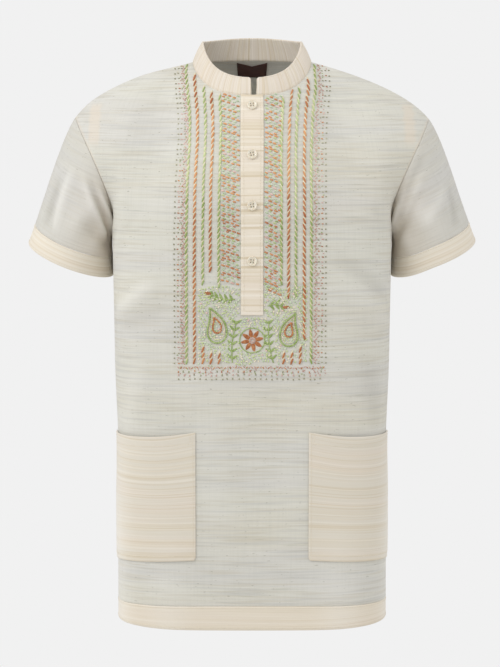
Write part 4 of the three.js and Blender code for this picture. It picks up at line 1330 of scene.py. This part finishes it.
# A block's rows, one orange to two green: threads, how often each comes, radius, and length as a
# share of a dash.
ORANGE_ROW = (("orange", "rose"), (0.85, 0.15), 1.12, 1.0)
GREEN_ROW = (("sage", "leaf", "orange"), (0.5, 0.3, 0.2), 0.92, 0.84)
TICKS = (
    {"hand": "right", "dot": -101.8, "ticks": (-97.0, -92.9), "zigzag": -89.6, "pitch": 6.8},
    {"hand": "left", "dot": 96.6, "ticks": (91.8, 87.2), "zigzag": 82.2, "pitch": 7.0},
)
STITCHED_FOOT_Z = -404.0
ABOVE_NECK = 60.0  # rows of stitches are laid out to here, and end where the collar begins
# Where stitches stop: millimetres below the neck's edge, and beside and below the placket.
CLEAR_OF = {"neck": 0.4, "placket": 0.6, "placket_foot": 1.2}
# The edging's stitches: radii, and the threads that its bars and specks come in.
EDGE_RADIUS = {"dot": 0.85, "bar": 0.68, "zig": 0.66, "zag": 0.62, "foot_zigzag": 0.6, "foot_bar": 0.7}
BAR_THREADS = ("rose", "olive", "orange", "olive")
FOOT_BARS = ((9.5, ("olive", "rose", "orange")), (14.2, ("rose", "olive", "rose")))
SPECK_THREADS = ("rose", "leaf", "pale", "rose")
SPECK = {"long": 2.2, "radius": 0.55}

front_shell = front_piece.data
chest = BVHTree.FromPolygons(
    [v.co[:] for v in front_shell.vertices], [p.vertices[:] for p in front_shell.polygons]
)


def seat(x, z):
    """The chest's surface straight behind a place seen from the front, and its normal."""
    hit, normal, _, _ = chest.ray_cast(Vector((x * MM, -1.0, z * MM)), Vector((0, 1, 0)))
    if hit is None or normal.y > -0.08:
        return None
    return np.array(hit) / MM, np.array(normal)


def neck_edge_z(x):
    angle = np.arcsin(np.clip(abs(x) / NECK["half_width"], 0, 1))
    return ring_point(NECK, "front", angle)[2]


def shade_at(x, z):
    """How dark a space-dyed thread is at a place, from 0 to 1."""
    shade = np.interp(z + 14 * math.sin(x * 0.9), SHADES["heights"], SHADES["dark"])
    return float(shade) + 0.08 * math.sin(z / 9 + x)


def stitch(thread, x, z, dx, dz, radius, darker=0.0):
    """One stitch on the chest round a place, if it clears the collar and the placket."""
    top, inside = z + abs(dz) / 2, abs(x) - abs(dx) / 2
    if top > neck_edge_z(x) - CLEAR_OF["neck"]:
        return
    beside_placket = inside >= PLACKET_HALF_WIDTH + CLEAR_OF["placket"]
    if not beside_placket and top > PLACKET_FOOT_Z - CLEAR_OF["placket_foot"]:
        return
    ends = [seat(x - dx / 2, z - dz / 2), seat(x + dx / 2, z + dz / 2)]
    if None in ends:
        return
    (a, na), (b, nb) = ends
    sew(thread, a, b, unit(na + nb), radius, shade_at(x, z) + darker)


def drift(x, z):
    """How far the rows stray across at a place, more at the outer edge than by the placket."""
    heights, shifts = zip(*DRIFT["left" if x > 0 else "right"])
    share = np.interp(abs(x), (DRIFT_INNER, DRIFT_OUTER), (0.6, 1.0))
    return np.interp(z, heights, shifts) * share


def jitter(by):
    return rng.uniform(-by, by)


def rope(x, thread, foot, lean, top=ABOVE_NECK):
    """A rope of slanted stitches up the chest, with a finer pale one between each two."""
    s = ROPE_STITCH[thread]
    for z in np.arange(foot + s["long"] / 2, top, s["pitch"]):
        at = z + jitter(0.5)
        across, slant = x + drift(x, at) + jitter(0.25), lean * (s["slant"] + jitter(0.4))
        stitch(thread, across, at, slant, s["long"] + jitter(0.8), s["radius"] * (1 + jitter(0.1)))
        stitch("pale", across, at + s["pitch"] / 2, slant * 1.1, s["long"] * 0.8, s["radius"] * 0.75)


def dash_block(from_x, to_x, slope, foot):
    """Level rows of dashes that slope down to the wearer's left, one orange row to two green."""
    row = 0
    for z in np.arange(foot, 0, DASH_ROWS["pitch"] / 3):
        shift = DASH_ROWS["step"] * (0.5 if row % 2 else 0.0)
        for x in np.arange(from_x + shift * 0.6, to_x, DASH_ROWS["step"]):
            at_z = z + slope * (x - (from_x + to_x) / 2) + jitter(0.5)
            at_x = x + drift(x, at_z) * 0.5 + jitter(0.5)
            long = DASH_ROWS["dash"] * rng.uniform(0.8, 1.15)
            threads, often, radius, share = GREEN_ROW if row % 3 else ORANGE_ROW
            thread = rng.choice(threads, p=often)
            long *= share
            stitch(thread, at_x, at_z, long, long * slope * 1.1, radius, DASH_ROWS["darker"])
        row += 1


def speck(x, z, spread_x, spread_z):
    """A tiny stray stitch near a place, as the close rows of the edging have."""
    thread = SPECK_THREADS[rng.integers(len(SPECK_THREADS))]
    angle = rng.uniform(0, math.pi)
    dx, dz = SPECK["long"] * math.cos(angle), SPECK["long"] * math.sin(angle)
    stitch(thread, x + jitter(spread_x), z + jitter(spread_z), dx, dz, SPECK["radius"])


def tick_edge(hand, dot, ticks, zigzag, pitch):
    """The outer edge of the stitching: a dot, two short bars and a zigzag on each row."""
    outward = 1 if hand == "left" else -1
    radius = EDGE_RADIUS
    for number, z in enumerate(np.arange(STITCHED_FOOT_Z + 2, ABOVE_NECK, pitch)):
        z = z + jitter(0.9)
        move = drift(dot, z)
        stitch("olive", dot + move + jitter(0.5), z, outward * 2.2, 0.5, radius["dot"])
        for x in ticks:
            thread = BAR_THREADS[rng.integers(len(BAR_THREADS))]
            at_x, at_z = x + move + jitter(0.7), z + jitter(0.7)
            stitch(thread, at_x, at_z, rng.uniform(2.2, 3.6), jitter(0.9), radius["bar"])
        up = 1 if number % 2 else -1
        stitch("rose", zigzag + move + jitter(0.5), z, 3.2, 3.0 * up + jitter(0.8), radius["zig"])
        next_z = z + pitch / 2
        stitch("rose", zigzag + move + outward * 1.6, next_z + jitter(0.7), 3.0, -2.6 * up, radius["zag"])
        for _ in range(2):
            speck(zigzag + move + outward * 0.5, next_z, 3.4, pitch / 2)
        speck((ticks[0] + ticks[1]) / 2 + move, next_z, 4.0, 1.5)


def foot_edge():
    """The same edge across the foot of the stitching, with its bars upright."""
    zigzag, bar, dot = (EDGE_RADIUS[name] for name in ("foot_zigzag", "foot_bar", "dot"))
    for number, x in enumerate(np.arange(-97.0, 93.0, 7.2)):
        z = STITCHED_FOOT_Z + jitter(0.8)
        up = 1 if number % 2 else -1
        stitch("rose", x, z - 4.0, 2.6 * up, 2.6, zigzag)
        stitch("orange", x + 3.6, z - 4.6, -2.6 * up, 2.6, zigzag)
        for down, threads in FOOT_BARS:
            stitch(threads[rng.integers(3)], x + jitter(0.9), z - down + jitter(0.6), jitter(0.6), 3.2, bar)
        stitch("olive", x + jitter(0.8), z - 19.4, jitter(0.8), 2.2, dot)
        for down in (3.0, 5.0, 8.0, 12.0):
            speck(x + 3.6, z - down, 3.6, 1.5)


# The panel below the ropes has motifs of common running-stitch work: a flower between two paisleys,
# with leafy sprays that end in buds, on a ground of small dashes.
FLOWER = {"x": 0.0, "z": -372.0, "petal": 14.0, "wide": 5.6, "petals": 8, "heart": 3.6, "turned": 0.25}
FLOWER_RINGS = ((2.9, "rose"), (16.5, "leaf"))
PAISLEYS = (
    {"x": -46.0, "z": -352.0, "size": 20.5, "hook": -1},
    {"x": 48.0, "z": -358.0, "size": 19.0, "hook": 1},
)
# A paisley's outlines from the outside in: share of its size, thread, stitch length and radius.
PAISLEY_LINES = ((1.0, "leaf", 4.4, 1.2), (0.8, "pale", 3.2, 0.6), (0.45, "orange", 3.8, 1.2))
SATIN_RADIUS = 0.62
STEM_RADIUS = 0.8
SPRAYS = (
    {"foot": (-26, -402), "tip": (-20, -346), "leaves": 6, "bud": False},
    {"foot": (28, -402), "tip": (22, -346), "leaves": 6, "bud": False},
    {"foot": (-22, -318), "tip": (-54, -311), "leaves": 5, "bud": True},
    {"foot": (20, -327), "tip": (40, -328), "leaves": 3, "bud": True},
)
# Short ropes that stand on the foot under the paisleys: place across and top.
FOOT_ROPES = ((-64.5, -382), (-54.0, -388), (-43.5, -386), (41.5, -388), (52.0, -386), (63.0, -380))
FIELD = {
    "from_x": -70.0,
    "to_x": 73.0,
    "top": -300.0,
    "row": 3.5,
    "step": 4.4,
    "dash": 3.4,
    "radius": 0.9,
    "darker": -0.75,
    "off_flower": 18.5,
    "off_stems": 4.0,
    "off_paisleys": 2.8,
}
FIELD_THREADS = {"leaf": 0.56, "sage": 0.28, "pale": 0.13, "rose": 0.03}


def outline_stitches(thread, points, long, radius, overlap=1.35):
    """Stem stitch along a line of places on the chest."""
    points = np.array(points)
    run = np.append(0, np.cumsum(np.linalg.norm(np.diff(points, axis=0), axis=1)))
    for at in np.arange(long / 2, run[-1], long / overlap):
        ends = [[np.interp(at + d, run, points[:, k]) for k in (0, 1)] for d in (-long / 2, long / 2)]
        (ax, az), (bx, bz) = ends
        stitch(thread, (ax + bx) / 2, (az + bz) / 2, bx - ax, bz - az, radius)


def paisley_outline(x, z, size, hook, scale=1.0):
    """A drop with its tip curled over to one side."""
    t = np.linspace(0, 2 * np.pi, 64)
    across = np.sin(t) * np.sin(t / 2) ** 1.2 * 0.85
    up = np.cos(t)
    curl = hook * 0.5 * np.clip(up, -0.2, 1) ** 2 * np.sign(np.clip(up, 0, 1))
    return np.stack([x + (across + curl) * size * scale, z + up * size * 1.15 * scale], axis=1)


# How a leaf and a petal are filled: the share of its length where the stitches start, their number,
# how far they lean outward, and how fast they widen from their least width.
LEAF = {"start": 0.08, "stitches": 7, "lean": 0.4, "power": 1.0, "least": 0.5}
PETAL = {"start": 0.12, "stitches": 9, "lean": 0.0, "power": 0.8, "least": 0.6}


def satin(thread, root, out, long, wide, form=LEAF):
    """A leaf, a petal or a bud filled from its root with stitches laid side by side across it."""
    across = np.array([-out[1], out[0]]) + out * form["lean"]
    for step in np.linspace(form["start"], 1, form["stitches"]):
        middle = root + out * long * step
        over = wide * math.sin(math.pi * (0.12 + 0.8 * step)) ** form["power"] + form["least"]
        stitch(thread, middle[0], middle[1], *(across * over), SATIN_RADIUS)


def flower():
    f = FLOWER
    centre = np.array([f["x"], f["z"]])
    for k in range(f["petals"]):
        angle = 2 * math.pi * (k + f["turned"]) / f["petals"]
        out = np.array([math.cos(angle), math.sin(angle)])
        satin("orange", centre + out * f["heart"], out, f["petal"] - f["heart"], f["wide"], PETAL)
    turn = np.linspace(0, 2 * math.pi, 30)
    for radius, thread in FLOWER_RINGS:
        line = centre + radius * np.stack([np.cos(turn), np.sin(turn)], axis=1)
        outline_stitches(thread, line, 3.6, STEM_RADIUS)


def spray(foot, tip, leaves, bud):
    """A stem with pairs of satin-stitched leaves, and a bud at its tip."""
    foot, tip = np.array(foot, float), np.array(tip, float)
    along = unit(tip - foot)
    side = np.array([-along[1], along[0]])
    bend = side * 3.0
    share = np.linspace(0, 1, 14)[:, None]
    outline_stitches("leaf", foot + (tip - foot) * share + bend * np.sin(np.pi * share), 4.2, STEM_RADIUS)
    for k in range(leaves):
        at = (k + 0.6) / leaves
        root = foot + (tip - foot) * at + bend * math.sin(math.pi * at)
        for hand in (-1, 1):
            satin("leaf", root, unit(side * hand + along * 0.8), 7.6, 3.2)
    if bud:
        satin("orange", tip, along, 9.0, 4.6)


def field():
    """Small dashes over the ground between the motifs."""
    f = FIELD
    outlines = [paisley_outline(p["x"], p["z"], p["size"], p["hook"]) for p in PAISLEYS]
    stems = [np.linspace(s["foot"], s["tip"], 12) for s in SPRAYS]
    stems += [np.linspace((x, STITCHED_FOOT_Z), (x, top), 8) for x, top in FOOT_ROPES]
    for number, z in enumerate(np.arange(STITCHED_FOOT_Z + 3, f["top"], f["row"])):
        for x in np.arange(f["from_x"] + (number % 2) * f["step"] / 2, f["to_x"], f["step"]):
            at = np.array([x + jitter(1.0), z + 2.4 * math.sin(x / 9) + jitter(0.8)])
            from_flower = np.hypot(at[0] - FLOWER["x"], at[1] - FLOWER["z"])
            from_stems, from_paisleys = (
                min(np.hypot(*(line - at).T).min() for line in lines) for lines in (stems, outlines)
            )
            if (
                from_flower < f["off_flower"]
                or from_stems < f["off_stems"]
                or from_paisleys < f["off_paisleys"]
            ):
                continue
            angle = 1.3 * math.sin(at[0] / 13) + 1.3 * math.cos(at[1] / 11) + jitter(0.5)
            thread = rng.choice(list(FIELD_THREADS), p=list(FIELD_THREADS.values()))
            long = f["dash"] * rng.uniform(0.75, 1.2)
            dx, dz = long * math.cos(angle), long * math.sin(angle)
            stitch(thread, *at, dx, dz, f["radius"], f["darker"])


def paisleys():
    for p in PAISLEYS:
        for scale, thread, long, radius in PAISLEY_LINES:
            outline_stitches(thread, paisley_outline(**p, scale=scale), long, radius)


for one_rope in ROPES:
    rope(*one_rope)
for across, rope_top in FOOT_ROPES:
    rope(across, "orange", STITCHED_FOOT_Z, 1, rope_top)
for block in DASH_BLOCKS:
    dash_block(**block)
for edge_of_work in TICKS:
    tick_edge(**edge_of_work)
foot_edge()
flower()
paisleys()
for one_spray in SPRAYS:
    spray(**one_spray)
field()

thread_pieces = []
for thread_name, thread_finish in THREAD_FINISHES.items():
    made_piece = thread_piece(f"{thread_name}_stitches", thread_name, thread_finish)
    own_slot = "sewing_thread" if thread_name == "sewing" else "embroidery_thread"
    thread_pieces.append(give(made_piece, own_slot))
below_underarm = slice(0, UNDERARM_ROW - int(BAND_TOP_ROW))
sheet(front_piece, front_cloth, "hung", "back_panel", thread_pieces, below_underarm)
sheet(back_piece, back_cloth, "hung", widest=below_underarm)

# ---- Floor, light and camera ----

FLOOR_Z, FLOOR_RADIUS = -1.45, 1.25
BACKDROP = "#f1f1f1"
ROOM_LIGHT = 0.74


def floor():
    place = (0, 0, FLOOR_Z)
    bpy.ops.mesh.primitive_circle_add(vertices=96, radius=FLOOR_RADIUS, fill_type="NGON", location=place)
    disc = bpy.context.object
    disc.name = "pale_floor"
    material, tree = start_finish("pale painted floor")
    place = add_node(tree, "ShaderNodeNewGeometry")
    grain = add_node(tree, "ShaderNodeTexNoise", {"Vector": place, "Scale": 3.0, "Detail": 3.0})
    base = dyed(tree, colour("#e9e8e5"), ("#efeeec", grain, 1.0))
    paint = add_node(tree, "ShaderNodeBsdfPrincipled", {"Base Color": base, "Roughness": 0.7})
    add_node(tree, "ShaderNodeOutputMaterial", {"Surface": paint})
    disc.data.materials.append(material)


def studio_world():
    """An even pale room. The camera sees it as the backdrop, and the cloth gets its own share of it."""
    world = bpy.data.worlds.new("studio")
    bpy.context.scene.world = world
    world.use_nodes = True
    tree = world.node_tree
    tree.nodes.clear()
    seen = add_node(tree, "ShaderNodeBackground", {"Color": colour(BACKDROP), "Strength": 1.0})
    light = add_node(tree, "ShaderNodeBackground", {"Color": colour("#ffffff"), "Strength": ROOM_LIGHT})
    is_seen = add_node(tree, "ShaderNodeLightPath", out="Is Camera Ray")
    surface = add_node(tree, "ShaderNodeMixShader", {0: is_seen, 1: light, 2: seen})
    add_node(tree, "ShaderNodeOutputWorld", {"Surface": surface})


# The studio's soft lamps: name, place, what it is aimed at, size in metres and power in watts.
LAMPS = (
    ("key_softbox", (-1.8, -1.5, 1.2), (0, 0, -0.2), 1.3, 27),
    ("left_fill", (-2.3, -0.7, 0.0), (-0.1, 0, -0.3), 1.6, 5.5),
    ("top_fill", (1.1, -0.9, 1.7), (0.1, 0, -0.1), 1.4, 8.5),
    ("right_fill", (2.3, -0.6, -0.1), (0.1, 0, -0.4), 1.6, 6),
)


def lamp(name, place, aim, size, power):
    light = bpy.data.lights.new(name, "AREA")
    light.size, light.energy = size, power
    holder = bpy.data.objects.new(name, light)
    bpy.context.scene.collection.objects.link(holder)
    holder.location = place
    holder.rotation_euler = (Vector(aim) - Vector(place)).to_track_quat("-Z", "Y").to_euler()


floor()
studio_world()
for one_lamp in LAMPS:
    lamp(*one_lamp)

camera_data = bpy.data.cameras.new("camera")
camera_data.lens, camera_data.sensor_width = 93.86, 36.0
camera = bpy.data.objects.new("camera", camera_data)
bpy.context.scene.collection.objects.link(camera)
camera.location = (-0.0028, -2.3877, -0.1325)
camera.rotation_euler = (math.radians(84.2), 0, 0)
bpy.context.scene.camera = camera
bpy.context.scene.view_settings.view_transform = "Standard"
bpy.context.scene.view_settings.look = "None"
